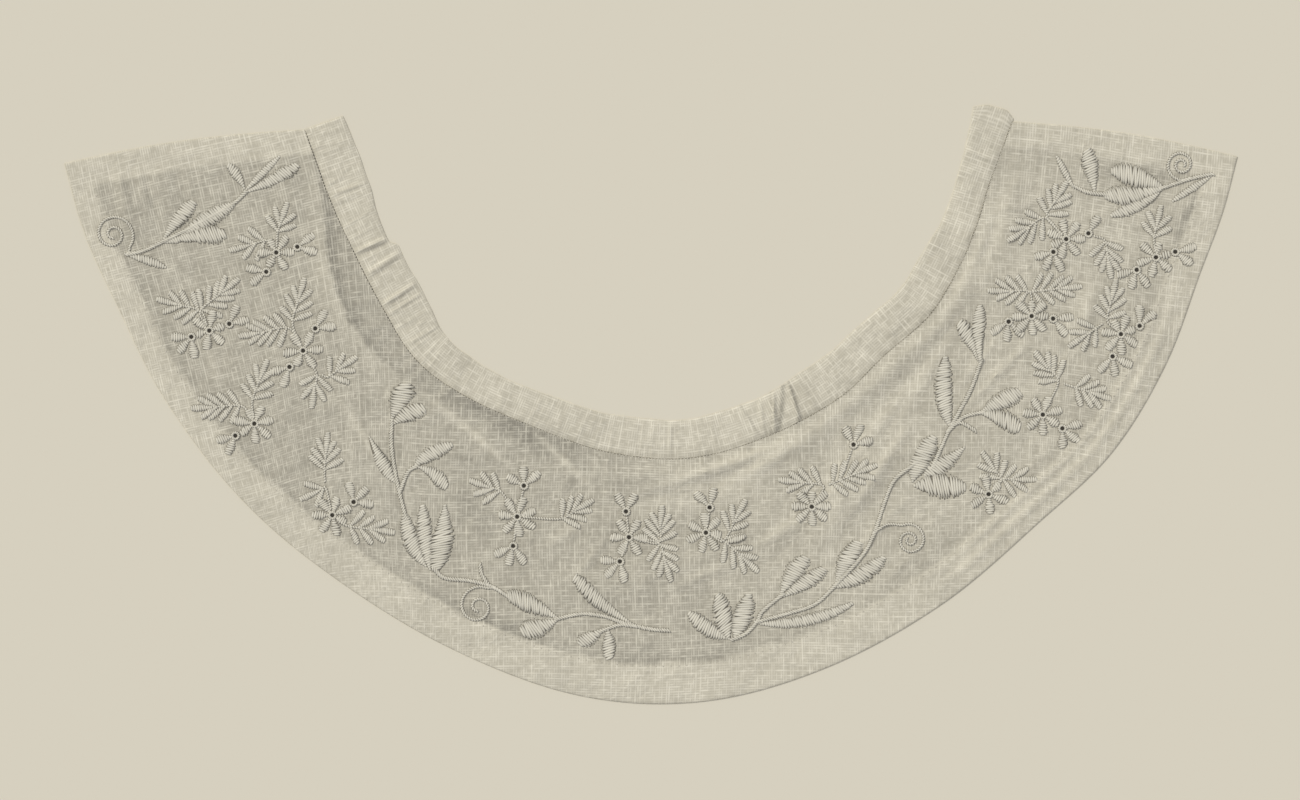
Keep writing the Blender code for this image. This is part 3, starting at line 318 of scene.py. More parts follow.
rng = np.random.default_rng(11)
starts = np.sort(rng.uniform(0.15, LAST - 0.15, GATHERS))
gather_from = along(SEAM, starts)
gather_way = along(EDGE, starts) - gather_from
gather_way /= np.linalg.norm(gather_way, axis=1)[:, None]
turn = rng.normal(0, GATHER_TURN, GATHERS)
gather_way = np.column_stack((
    gather_way[:, 0] * np.cos(turn) - gather_way[:, 1] * np.sin(turn),
    gather_way[:, 0] * np.sin(turn) + gather_way[:, 1] * np.cos(turn),
))
gather_length, gather_height, gather_half = (
    rng.uniform(*limits, GATHERS) for limits in (GATHER_LENGTHS, GATHER_HEIGHTS, GATHER_HALVES))


def smoothstep(value):
    value = np.clip(value, 0, 1)
    return value * value * (3 - 2 * value)


def ridge(spots, start, end, half, height, bow=0.0, taper=1.0):
    """Height of one ridge over points of the plan."""
    run, rel = np.subtract(end, start), spots - np.asarray(start)
    length = np.linalg.norm(run)
    share = rel @ run / length**2
    off = (run[0] * rel[:, 1] - run[1] * rel[:, 0]) / length - 4 * bow * share * (1 - share)
    on = (share > 0) & (share < 1) & (abs(off) < half)
    lift = np.zeros(len(spots))
    lift[on] = height * (0.5 + 0.5 * np.cos(np.pi * off[on] / half)) * np.sin(
        np.pi * share[on]) ** taper
    return lift


def ledge(spots):
    """(height, painted shade beside it, painted highlight on its crest) of the fold that is steep
    towards the neck.
    """
    line = along(LEDGE, np.linspace(0, len(LEDGE) - 1, LEDGE_POINTS))
    gap = np.linalg.norm(spots[:, None] - line, axis=2)
    nearest, gap = gap.argmin(axis=1), gap.min(axis=1)
    run = np.gradient(line, axis=0)[nearest]
    rel = spots - line[nearest]
    right = run[:, 0] * rel[:, 1] - run[:, 1] * rel[:, 0] > 0
    near = smoothstep(1 - gap / np.where(right, LEDGE_STEEP, LEDGE_GENTLE))
    ends = np.sin(np.pi * (nearest / (LEDGE_POINTS - 1))) ** 0.6
    return LEDGE_HEIGHT * near * ends, right * ends * smoothstep(1 - gap / LEDGE_SHADE), (
        ~right * ends * near)


def fold_lift(spots, at, inside):
    """Height of folds and gathers over the lie of the cloth."""
    width, front = widths(at), from_front(at)
    lift, fine = np.zeros(len(spots)), np.zeros(len(spots))
    for f in FOLDS:
        lift = np.maximum(lift, ridge(spots, f[:2], f[2:4], WIDER * f.half, SOFTER * f.height,
                                      f.bow, 0.7))
    lift *= smoothstep((width - inside) / FADE_AT_SEAM)
    lift *= smoothstep((inside - along(HEM, at)[:, 0] - HEM_RAMP) / FADE_AT_HEM)
    lift *= smoothstep((front - FRONT_HEM - HEM_RAMP + FADE_AT_HEM) / FADE_AT_HEM)
    for spot, way, half, height in zip(gather_from, gather_way * gather_length[:, None],
                                       gather_half, gather_height):
        fine = np.maximum(fine, ridge(spots, spot - way, spot + way, half, height, 0, 1.2))
    for s in STREAKS:
        fine = np.maximum(fine, ridge(spots, s[:2], s[2:4], s.half, s.lift, s.bow))
    edge = smoothstep((at - RIDGES_START[0]) / RIDGES_START[1]) * smoothstep(
        (RIDGES_END[0] - at) / RIDGES_END[1])
    for place, half, height in EDGE_RIDGES:
        fine = fine + height * smoothstep(1 - abs(inside - place) / half) * edge
    fine = np.maximum(fine, ledge(spots)[0])
    fine *= smoothstep((front - FINE_FROM) / FINE_FADE)
    for length, size, angle in WAVES:
        wave = spots @ np.array([math.cos(angle), math.sin(angle)]) * 2 * np.pi / length
        fine = fine + size * (1 + np.sin(wave + 2 * np.sin(wave / 3.7)))
    return lift + fine * smoothstep(inside / FADE_AT_EDGE) * smoothstep(front / FADE_AT_EDGE)


print("ridges:", len(FOLDS), "gathers:", GATHERS)

# %% [markdown]
# ## Shells from a grid
#
# A sheet of cloth has two sides and a rim. A grid of points for its upper side and another for
# its underside, stitched together round the border, make a closed shell that has a true
# thickness wherever it is seen. The function also keeps a UV map: two numbers at each point
# that run along the threads, so that the weave follows the cloth.

# %% A closed shell of cloth
UV_UNIT = 100  # millimetres
WARP_LEAN, WARP_TURN = 14, 6  # degrees, at the left and the right front


def shell(name, plan, low, top, weave, finish, layers=None):
    """A closed sheet. plan is rows by columns by 2; low, top and layers are rows by columns."""
    rows, columns = low.shape
    count = rows * columns
    flat = plan.reshape(-1, 2) + (0, SHIFT_Y)
    points = np.vstack([np.column_stack((flat, side.ravel())) for side in (top, low)]) * MM
    index = np.arange(count).reshape(rows, columns)
    a, b = index[:-1, :-1].ravel(), index[:-1, 1:].ravel()
    c, d = index[1:, 1:].ravel(), index[1:, :-1].ravel()
    border = np.concatenate((index[0, :-1], index[:-1, -1], index[-1, :0:-1], index[:0:-1, 0]))
    after = np.roll(border, -1)
    faces = np.vstack((
        np.column_stack((a, b, c, d)),
        np.column_stack((a, d, c, b)) + count,
        np.column_stack((border, border + count, after + count, after)),
    ))
    p, q, r = points[faces[0, 0]], points[faces[0, 1]], points[faces[0, 2]]
    if np.cross(q - p, r - p)[2] < 0:
        faces = faces[:, ::-1]
    made = new_object(name, (points.tolist(), faces.tolist()), finish)
    mesh = made.data
    mesh.shade_smooth()
    mesh.set_sharp_from_angle(angle=math.radians(60))
    corners = np.zeros(len(mesh.loops), int)
    mesh.loops.foreach_get("vertex_index", corners)
    uv = np.tile(weave.reshape(-1, 2), (2, 1))[corners] / UV_UNIT
    mesh.uv_layers.new(name="weave").data.foreach_set("uv", uv.ravel())
    # layers also carries the painted light and shade of the cloth
    layers = np.ones(count) if layers is None else layers.ravel()
    mesh.attributes.new("layers", "FLOAT", "POINT").data.foreach_set("value", np.tile(layers, 2))
    return made


def collar_weave(spots):
    """Thread coordinates in millimetres: warp runs up the drawing, and leans at both fronts."""
    x, y = spots[..., 0], spots[..., 1]
    lean = math.tan(math.radians(WARP_LEAN)) * smoothstep((-x - 85) / 75)
    right = math.tan(math.radians(WARP_TURN)) * smoothstep((x - 110) / 90)
    wander = 1.1 * np.sin(x / 31 + 1.3 * np.sin(y / 47)) + 0.5 * np.sin(y / 13 + x / 55)
    drift = 1.1 * np.sin(y / 27 + 1.1 * np.sin(x / 53)) + 0.5 * np.sin(x / 15 - y / 61)
    u = x + (lean - right) * (y - 60) + wander
    v = y - (lean - right) * (abs(x) - 120) * np.sign(x) + drift
    return np.stack((u, v), -1)


print("the weave leans", WARP_LEAN, "degrees at the left front")

# %% [markdown]
# ## Linen lawn
#
# Lawn is a plain weave of very fine flax thread, and flax is never even: thick places, called
# slubs, catch the light along single threads. Where it is turned or folded double it is paler
# and closer. Shade and light are painted into its colour too: a single layer in a hollow is
# painted grey, as shade, and a crest is painted paler, as a highlight. The material finds each
# point's thread from the UV map, gives every thread its own tone from white noise, paints shade
# into the gaps between threads, and mixes two pairs of tones by the number called layers, which
# is 0 in the deepest painted shade of a hollow and 1 where the cloth is double.
#
# Real lawn has a thread about every 0.35 mm. That is finer than a pixel of the picture, so the
# weave is drawn at about 1 mm, which is as coarse as it needs to be to show.

# %% Linen lawn material
THREAD_PITCH = 0.98  # millimetres between drawn threads
SLUB_LENGTH = 4.2  # millimetres
THREADS = UV_UNIT / THREAD_PITCH  # threads in one unit of the UV map
TONE_SHARE, SLUB_SHARE = 0.4, 0.62  # of a thread's lightness


def thread_set(tree, across, beside):
    """How light the threads of one direction are: their own tone, slubs, and painted shade
    towards the sides of their round section.
    """
    scaled = maths(tree, "MULTIPLY", across, THREADS)
    number, place = maths(tree, "FLOOR", scaled), maths(tree, "FRACT", scaled)
    # painted shade: each thread is darker towards its sides, which darkens the gaps between them
    middle = maths(tree, "MULTIPLY", maths(tree, "PINGPONG", place, 0.5), 2.0)
    tone = add(tree, "ShaderNodeTexWhiteNoise", {"noise_dimensions": "1D"}, W=number)
    tone = tone.node.outputs["Value"]
    spot = add(tree, "ShaderNodeCombineXYZ", X=maths(tree, "MULTIPLY", number, 7.31),
               Y=maths(tree, "MULTIPLY", beside, UV_UNIT / SLUB_LENGTH),
               Z=maths(tree, "MULTIPLY", tone, 9.0))
    slub = add(tree, "ShaderNodeTexNoise", Vector=spot, Scale=1.0, Detail=1.0)
    slub = add(tree, "ShaderNodeMapRange", Value=slub, From_Min=0.4, From_Max=0.74)
    strength = maths(tree, "MULTIPLY_ADD", tone, TONE_SHARE,
                     maths(tree, "MULTIPLY", slub, SLUB_SHARE))
    return maths(tree, "MULTIPLY", strength, maths(tree, "MULTIPLY_ADD", middle, 0.9, 0.1))


def linen(name):
    """Plain-woven lawn: matt, a little fuzzy at grazing angles, with visible threads."""
    made, tree, shader = new_material(name, Roughness=0.85, Specular_IOR_Level=0.25,
                                      Sheen_Weight=0.1, Sheen_Roughness=0.5)
    uv = add(tree, "ShaderNodeUVMap", {"uv_map": "weave"})
    u, v = add(tree, "ShaderNodeSeparateXYZ", Vector=uv).node.outputs[:2]
    warp, weft = thread_set(tree, u, v), thread_set(tree, v, u)
    cloth = maths(tree, "MULTIPLY_ADD", maths(tree, "ADD", warp, weft), 0.3,
                  maths(tree, "MAXIMUM", warp, weft))
    lightness = add(tree, "ShaderNodeMapRange", Value=cloth, From_Min=0.05, From_Max=1.08)
    # painted light and shade: dark tones for shade in hollows and between threads, pale ones for
    # double cloth and a highlight on crests
    hollow, double = (mixed(tree, lightness, linear(gap), linear(crown))
                      for gap, crown in (SHADED_LAWN, DOUBLE_LAWN))
    colour = mixed(tree, attribute(tree, "layers"), hollow, double)
    position = tree.nodes.new("ShaderNodeTexCoord").outputs["Object"]
    blotch = add(tree, "ShaderNodeTexNoise", Vector=position, Scale=38.0, Detail=3.0)
    shade = add(tree, "ShaderNodeMapRange", Value=blotch, From_Min=0.3, From_Max=0.7, To_Min=0.94,
                To_Max=1.05)
    colour = add(tree, "ShaderNodeVectorMath", {"operation": "SCALE"}, Vector=colour, Scale=shade)
    crumple = add(tree, "ShaderNodeTexNoise", Vector=position, Scale=75.0, Detail=4.0,
                  Distortion=0.4)
    bump = add(tree, "ShaderNodeBump", Height=crumple, Strength=0.5, Distance=0.0035)
    bump = add(tree, "ShaderNodeBump", Height=cloth, Strength=0.2, Distance=0.0004, Normal=bump)
    tree.links.new(colour, shader["Base Color"])
    tree.links.new(bump, shader["Normal"])
    return made


SHADED_LAWN = ("77736A", "C8C3B3")  # painted shade: gaps and threads of one layer in a hollow
DOUBLE_LAWN = ("BFB9A8", "E5DFCE")  # the same where the cloth is double
collar_lawn, folded_lawn = linen("sheer_linen_lawn"), linen("folded_linen_lawn")
print("materials:", collar_lawn.name, folded_lawn.name)

# %% [markdown]
# ## The collar
#
# The crescent is one closed shell on a fine grid. Over the turnings it rides a cloth's
# thickness higher and comes down again over a short ramp, and at its outer and front edges it
# folds down to the table. The number called layers is set here too, with painted light and
# shade in it: the left of the collar and the long hollow beside the neck are painted greyer,
# as shade, and the streaks add their painted light and shade to it.

# %% The crescent of lawn
WALL = 0.3  # drawn thickness of the lawn; the real one is about 0.2
LIE, FLOOR = 0.1, 0.02  # the cloth's underside over the table, and that of a folded edge
TURN_LIFT, TURN_RAMP = 0.32, 1.6  # height of the turning that it rides over, and the slope
EDGE_ROLL = 1.1  # the folded edge rounds down over this distance
COLUMNS, ROWS = 440, 66
CLOSE_TO_SEAM = 0.02  # the lawn ends this far short of the seam
EDGE_ROWS = (0.0, 0.15, 0.4, 0.8, 1.3)  # millimetres from the edge, then even steps from 2 mm
EDGE_SHARES = (0.0004, 0.001, 0.0018, 0.0028)
LEFT_TONE, RIGHT_TONE_GAIN = 0.2, 0.36  # painted light: the right side is painted lighter than the left
# a painted highlight on the ledge's crest and where the cloth is lifted, painted shade beside the
# ledge
CREST_TONE, HOLLOW_TONE, LIFT_TONE = 0.3, -0.8, 0.04
HEM_SHADE, HEM_SHADE_WIDTH = 0.32, 3  # painted shade on the lawn beside the turning
STREAK_SPREAD = 1.3  # the tone of a streak is wider than its lift


def cloth_heights(at, inside):
    """(underside, upper side, layers) of the lawn in millimetres; layers also holds the painted
    light and shade.
    """
    spots = collar_plan(at, inside)
    hem, front = along(HEM, at)[:, 0], from_front(at)
    wander = 0.35 * np.sin(at * 9.1) + 0.25 * np.sin(at * 23.7)
    over = np.maximum(*(smoothstep((edge + TURN_RAMP + wander - off) / TURN_RAMP)
                        for edge, off in ((hem, inside), (FRONT_HEM, front))))
    near = np.minimum(inside, front)
    lift = fold_lift(spots, at, inside)
    base = LIE + 0.5 * WALL
    roll = np.sqrt(1 - (1 - np.clip(near / EDGE_ROLL, 0, 1)) ** 2)
    top = base + (LIE + WALL + TURN_LIFT * over + lift - base) * roll
    low = np.where(near < 0.9 * EDGE_ROLL, FLOOR, top - WALL)
    # painted light and shade: lighter to the right, the streaks' bands, a highlight on the ledge's
    # crest, shade beside the ledge and beside the turning
    tone = LEFT_TONE + RIGHT_TONE_GAIN * smoothstep((spots[:, 0] + 0.5 * spots[:, 1] + 35) / 90)
    for s in STREAKS:
        tone += s.tone * ridge(spots, s[:2], s[2:4], STREAK_SPREAD * s.half, 1.0, s.bow)
    height, hollow, crest = ledge(spots)
    tone += CREST_TONE * crest + HOLLOW_TONE * hollow
    tone -= HEM_SHADE * np.exp(-np.maximum(inside - hem - TURN_RAMP, 0) / HEM_SHADE_WIDTH)
    return low, top, 0.5 + 0.5 * (over + tone * (1 - over) + LIFT_TONE * lift)


def spread(count, ends):
    """Even places from 0 to 1 with extra ones close to both ends."""
    inner = np.linspace(0, 1, count - 2 * len(ends))
    return np.unique(np.concatenate((inner, ends, [1 - e for e in ends])))


at_line = spread(COLUMNS, EDGE_SHARES) * LAST
at_grid = np.repeat(at_line, ROWS)
in_grid = np.concatenate([
    np.concatenate((EDGE_ROWS, np.linspace(2.0, width, ROWS - len(EDGE_ROWS))))
    for width in widths(at_line) - CLOSE_TO_SEAM
])
low, top, layers = (part.reshape(-1, ROWS) for part in cloth_heights(at_grid, in_grid))
plan = collar_plan(at_grid, in_grid).reshape(-1, ROWS, 2)
collar = shell("collar_lawn", plan, low, top, collar_weave(plan), collar_lawn, layers)
cloth_tree = BVHTree.FromObject(collar, bpy.context.evaluated_depsgraph_get())
print("collar:", len(collar.data.polygons), "faces, highest", round(float(top.max()), 2), "mm")

# %% [markdown]
# ## The turnings
#
# Under the outer edge and the two fronts lies the turned-in cloth. It hardly shows, but it is
# what makes the border look solid, so it is there, as flat strips just under the collar.


# %% Turned-in hems
def strip(name, at_from, at_to, in_from, in_to, columns, rows=6):
    """A flat strip between two places along the collar and two distances from its edge."""
    at = np.repeat(np.linspace(at_from, at_to, columns), rows)
    share = np.tile(np.linspace(0, 1, rows), columns)
    inside = in_from(at) + (in_to(at) - in_from(at)) * share
    spots = collar_plan(at, inside).reshape(columns, rows, 2)
    base = np.full((columns, rows), 0.05)
    return shell(name, spots, base, base + WALL, collar_weave(spots), folded_lawn)


TURN_EDGE = 1.1  # a turning stays this far inside the folded edge
outer_turning = strip("outer_turning", TURN_EDGE / LEFT_STEP, LAST - TURN_EDGE / RIGHT_STEP,
                      lambda at: np.full(len(at), TURN_EDGE), lambda at: along(HEM, at)[:, 0], 400)
front_turnings = [
    strip(name, first, last, lambda at: along(HEM, at)[:, 0] + 0.3, lambda at: widths(at) - 0.3,
          10, 40)
    for name, first, last in (
        ("left_front_turning", TURN_EDGE / LEFT_STEP, FRONT_HEM / LEFT_STEP),
        ("right_front_turning", LAST - FRONT_HEM / RIGHT_STEP, LAST - TURN_EDGE / RIGHT_STEP),
    )
]
print("turnings:", outer_turning.name, [t.name for t in front_turnings])

# %% [markdown]
# ## The neckband
#
# The neckband is a straight strip folded over the raw edge of the neck. A straight strip bent
# round a curve has too much cloth on its inside, so it puckers: low creases cross it, with a
# stepped tuck on the left and a small pleat on the right of the back. The solids have them too,
# but simpler. Here those of the tuck and the pleat are higher, some are moved by up to 8 mm, all
# lean across the band, three are new, and finer ones are scattered between them. The sides of
# the pleat also get painted shade, as cloth has that turns away from the light.

# %% Neckband
Crease = namedtuple("Crease", "name at height half lean")  # at: counted in sections
CREASES = (
    Crease("left_upper", 1.0, 0.7, 1.6, 0.8),
    Crease("tuck", 2.14, 1.9, 1.7, 0.8),
    Crease("under_tuck", 2.48, 1.3, 2.2, -2.0),
    Crease("left_lower_a", 3.0, 1.4, 1.7, -1.0),
    Crease("left_lower_b", 3.17, 0.8, 1.2, -1.0),
    Crease("left_turn", 3.75, 0.5, 1.8, 0.8),
    Crease("back_b", 7.75, 0.5, 1.6, 0.8),
    Crease("back_c", 8.35, 0.4, 1.8, 0.8),
    Crease("pleat_left", 9.17, 1.9, 1.5, 7.0),
    Crease("pleat_right", 9.47, 1.9, 1.3, 3.4),
    Crease("beside_pleat", 9.0, 0.9, 1.3, 4.0),
    Crease("after_pleat", 9.66, 0.9, 1.5, -1.5),
    Crease("right_b", 11.3, 0.5, 1.8, 0.8),
    Crease("right_c", 13.6, 0.4, 1.8, 0.8),
    Crease("right_top", 15.35, 0.6, 1.8, 0.8),
)
Shade = namedtuple("Shade", "name at_seam at_neck half depth")  # a line of painted shade across the band
SHADES = (
    Shade("pleat_left", 9.12, 9.44, 1.9, 0.75),
    Shade("pleat_right", 9.42, 9.53, 1.0, 0.6),
    Shade("pleat_outer", 9.02, 9.24, 0.8, 0.45),
    Shade("beside_pleat", 8.9, 8.8, 0.8, 0.35),
)
TUCK_AT, TUCK_STEP, TUCK_RISE, TUCK_FADE = 2.2, 3.0, 0.13, 0.55
BAND_COLUMNS, BAND_ROWS = 860, 22
BAND_BASE, BAND_THICK = 0.35, 0.7
BAND_GAP = 0.03  # between the band and the lawn beside it
CREASE_HEIGHT, CREASE_FADE = 0.85, 0.12  # over the height in the table; share of the width
PUCKERS, PUCKER_REACH = 95, 16
PUCKER_HEIGHTS, PUCKER_HALVES, PUCKER_SLOPE = (0.05, 0.26), (0.7, 1.9), 0.16
SWELL_UNEVEN = 0.0108  # share of the band's thickness
# the flared end of the band
END_SHARES, END_REACH, END_LENGTH = (0.0, 0.22, 0.7, 1.0), (1.2, 3.6, 2.9, 0.3), 5
END_ROLL = 1.3


def band_width(at):
    width = along(BAND, at)[:, 0]
    late = at > TUCK_AT
    width[late] += TUCK_STEP * np.exp((TUCK_AT - at[late]) / TUCK_FADE) * smoothstep(
        (at[late] - TUCK_AT) / TUCK_RISE)
    return width


def band_frame(at):
    """(seam point, direction towards the neck) along the band."""
    low, high = np.maximum(at - 0.05, 0), np.minimum(at + 0.05, LAST)
    run = along(SEAM, high) - along(SEAM, low)
    run /= np.linalg.norm(run, axis=1)[:, None]
    return along(SEAM, at), np.column_stack((-run[:, 1], run[:, 0]))


def length_along(spots):
    """Millimetres from the first of a row of points to each."""
    return np.concatenate(([0], np.cumsum(np.linalg.norm(np.diff(spots, axis=0), axis=1))))


def crease_lift(offs, half, height):
    """A rounded crease, at distances from its middle."""
    return np.where(abs(offs) < half, height * (0.5 + 0.5 * np.cos(np.pi * offs / half)), 0)


seam_line = np.linspace(0, LAST, 4001)
seam_run = length_along(along(SEAM, seam_line))
band_at = np.linspace(0, LAST, BAND_COLUMNS)
run = np.interp(band_at, seam_line, seam_run)[:, None]
share = (0.5 - 0.5 * np.cos(np.pi * np.linspace(0, 1, BAND_ROWS)))[None, :]
rng = np.random.default_rng(5)
puckers = [(rng.uniform(3, seam_run[-1] - 3), rng.uniform(*PUCKER_HEIGHTS),
            rng.uniform(*PUCKER_HALVES), rng.uniform(-PUCKER_SLOPE, PUCKER_SLOPE))
           for i in range(PUCKERS)]
lift = np.zeros((BAND_COLUMNS, BAND_ROWS))
for c in CREASES:
    off = run - np.interp(c.at, seam_line, seam_run) - c.lean * (share - 0.5)
    lift = np.maximum(lift, crease_lift(off, c.half, CREASE_HEIGHT * c.height) * np.sin(
        np.pi * (0.1 + 0.8 * share)))
for middle, height, half, slope in puckers:
    off = run - middle - slope * PUCKER_REACH * (share - 0.5)
    lift = np.maximum(lift, crease_lift(off, half, height) * (1.1 - 0.7 * share))
swell = BAND_THICK * (1 - abs(2 * share - 1) ** 4) ** 0.75
swell = swell * (1 + SWELL_UNEVEN * np.sin(run / 2.1) * np.sin(run / 7.3))
rim = np.minimum(run, run[-1] - run) + 0.05
band_top = BAND_BASE + (swell + lift * smoothstep(np.minimum(share, 1 - share) / CREASE_FADE)) * (
    np.sqrt(1 - (1 - np.clip(rim / END_ROLL, 0, 1)) ** 2))
reach = share * band_width(band_at)[:, None] + BAND_GAP
reach = reach + (0.2 * np.sin(run / 6.1) + 0.08 * np.sin(run / 2.3)) * share**3
flare = smoothstep((run - run[-1] + END_LENGTH) / END_LENGTH) * np.interp(
    share, END_SHARES, END_REACH)
seam_spots, inward = band_frame(band_at)
band_plan = (seam_spots[:, None] + inward[:, None] * reach[:, :, None]
             + unit(SEAM[LAST] - SEAM[LAST - 1]) * flare[:, :, None])
# painted shade along the sides of the pleat, carried in the band's layers number
band_layers = np.ones(reach.shape)
for s in SHADES:
    first, last = np.interp((s.at_seam, s.at_neck), seam_line, seam_run)
    off = abs(run - first - (last - first) * share)
    band_layers -= s.depth * smoothstep(1 - off / s.half)
band_uv = np.stack((np.broadcast_to(run, reach.shape), reach), -1)
neckband = shell("neckband_lawn", band_plan, np.full(reach.shape, FLOOR), band_top, band_uv,
                 folded_lawn, band_layers)
print("neckband:", round(float(seam_run[-1])), "mm along the seam, highest",
      round(float(band_top.max()), 2))

# %% [markdown]
# ## Where the embroidery lies
#
# The work is ordinary whitework: fifteen sprigs of a flower, a bud or two and fronds, and four
# running stems with big leaves and a tendril. Each is set out from short rows. A flower has a
# place, a turn and a number of petals, a bud has a place and the way it faces, and a frond has
# a fork, a heading, a length and its pairs of leaflets. The solids were made from the same rows,
# but here fourteen leaves and the tendrils lie a little nearer to where they were drawn.

# %% Tables of the embroidery
Flower = namedtuple("Flower", "spray x y turn petals")
Bud = namedtuple("Bud", "spray x y facing petals from_x from_y")
Frond = namedtuple("Frond", "spray fork_x fork_y heading length pairs from_x from_y")
SPRAYS = (  # a flower, its buds and its fronds
    ((-149.8, 60.3, 0, 6), ((-141.4, 62.6, 10, 2), (-153.8, 52.6, 195, 2)),
     ((-153.6, 65.2, 195, 7.5, 2), (-149.4, 68.2, 72, 4.8, 2))),
    ((-176.6, 29.1, 20, 6), ((-183.8, 26.6, 230, 3), (-168.6, 31.8, 40, 2)),
     ((-180.2, 37.1, 165, 10, 3), (-180.2, 37.1, 40, 12, 3))),
    ((-139.1, 21.1, 5, 6), ((-134.2, 30, 34, 2), (-144.5, 14.6, 225, 2)),
     ((-143.4, 32.3, 75, 10.5, 3), (-145, 30.3, 190, 12, 3),
      (-133.8, 12.1, 262, 6, 2), (-129.2, 10.7, 35, 6, 2, -133.8, 12.1))),
    ((-158.6, -8.1, 14, 7), ((-166.2, -12.9, 220, 2),),
     ((-159.5, 1.1, 70, 9.5, 3), (-163.8, -0.9, 183, 12, 3))),
    ((-127.4, -44.7, 26, 7), ((-118.9, -39.4, 50, 3),),
     ((-130.6, -27, 85, 7.4, 3, -130.2, -33.7), (-130.2, -33.7, 205, 3, 1),
      (-121.4, -48.9, -8, 11, 3))),
    ((-53.5, -45.3, 20, 7), ((-50.8, -32.9, 95, 3), (-55.1, -57, 254, 3)),
     ((-59.9, -35.3, 160, 5.4, 2), (-36.2, -46.1, 30, 7, 3))),
    ((-8.8, -53.5, 0, 6), ((-10, -43.2, 87, 2), (-12.4, -63.2, 230, 3)),
     ((3.1, -55.8, 85, 7, 3), (3.1, -55.8, -72, 8, 3))),
    ((22, -51.7, -5, 7), ((23.5, -41.6, 105, 2),),
     ((29.1, -54.8, 62, 10.5, 3), (29.1, -54.8, -42, 10.5, 3))),
    ((64.3, -41.3, 0, 8), ((81, -16.5, 68, 3, 76, -29.5),),
     ((68.9, -32.9, 172, 10, 3), (71.8, -32.1, 22, 12, 3, 68.9, -32.9))),
    ((135, -36.3, -22, 6), (),
     ((140.1, -30.4, 125, 5.5, 2), (140.1, -30.4, 0, 6, 2))),
    ((166, 65.7, 0, 7), ((174.9, 68, 60, 1), (160.9, 60.6, 245, 3)),
     ((158.2, 74.9, 60, 8, 3), (157.4, 74.3, 212, 9.5, 3), (181.4, 65.2, -80, 7.2, 3, 174.9, 68))),
    ((201.9, 58.4, 15, 6), ((209.6, 60.6, -8, 2), (194.2, 53.4, 250, 3)),
     ((201.1, 65.9, 78, 5.6, 2),)),
    ((152.2, 34.9, 0, 8), ((143, 32.7, 262, 3), (160.8, 33.9, -25, 2)),
     ((151.3, 44.6, 178, 8.6, 3), (151.8, 44.7, 6, 12.5, 3, 151.3, 44.6))),
    ((187.9, 27.7, 18, 7), ((195.4, 31, 65, 2), (184.6, 18.8, 280, 3)),
     ((182.4, 33.3, 78, 8.6, 3), (178.6, 30.6, 214, 6, 2, 182.4, 33.3))),
    ((156.7, -4.5, -35, 7), ((164.5, -10, -38, 3),),
     ((162.8, 8.8, 128, 7.2, 3), (169.1, 6.6, -18, 7.5, 3, 162.8, 8.8))),
)
FLOWERS, BUDS, FRONDS = [], [], []
for number, (flower, buds, fronds) in enumerate(SPRAYS, 1):
    spray, centre = f"spray_{number:02d}", flower[:2]
    FLOWERS.append(Flower(spray, *flower))
    # a bud or frond grows from its flower, unless its row ends in another place
    BUDS += [Bud(spray, *(row if len(row) > 4 else row + centre)) for row in buds]
    FRONDS += [Frond(spray, *(row if len(row) > 5 else row + centre)) for row in fronds]

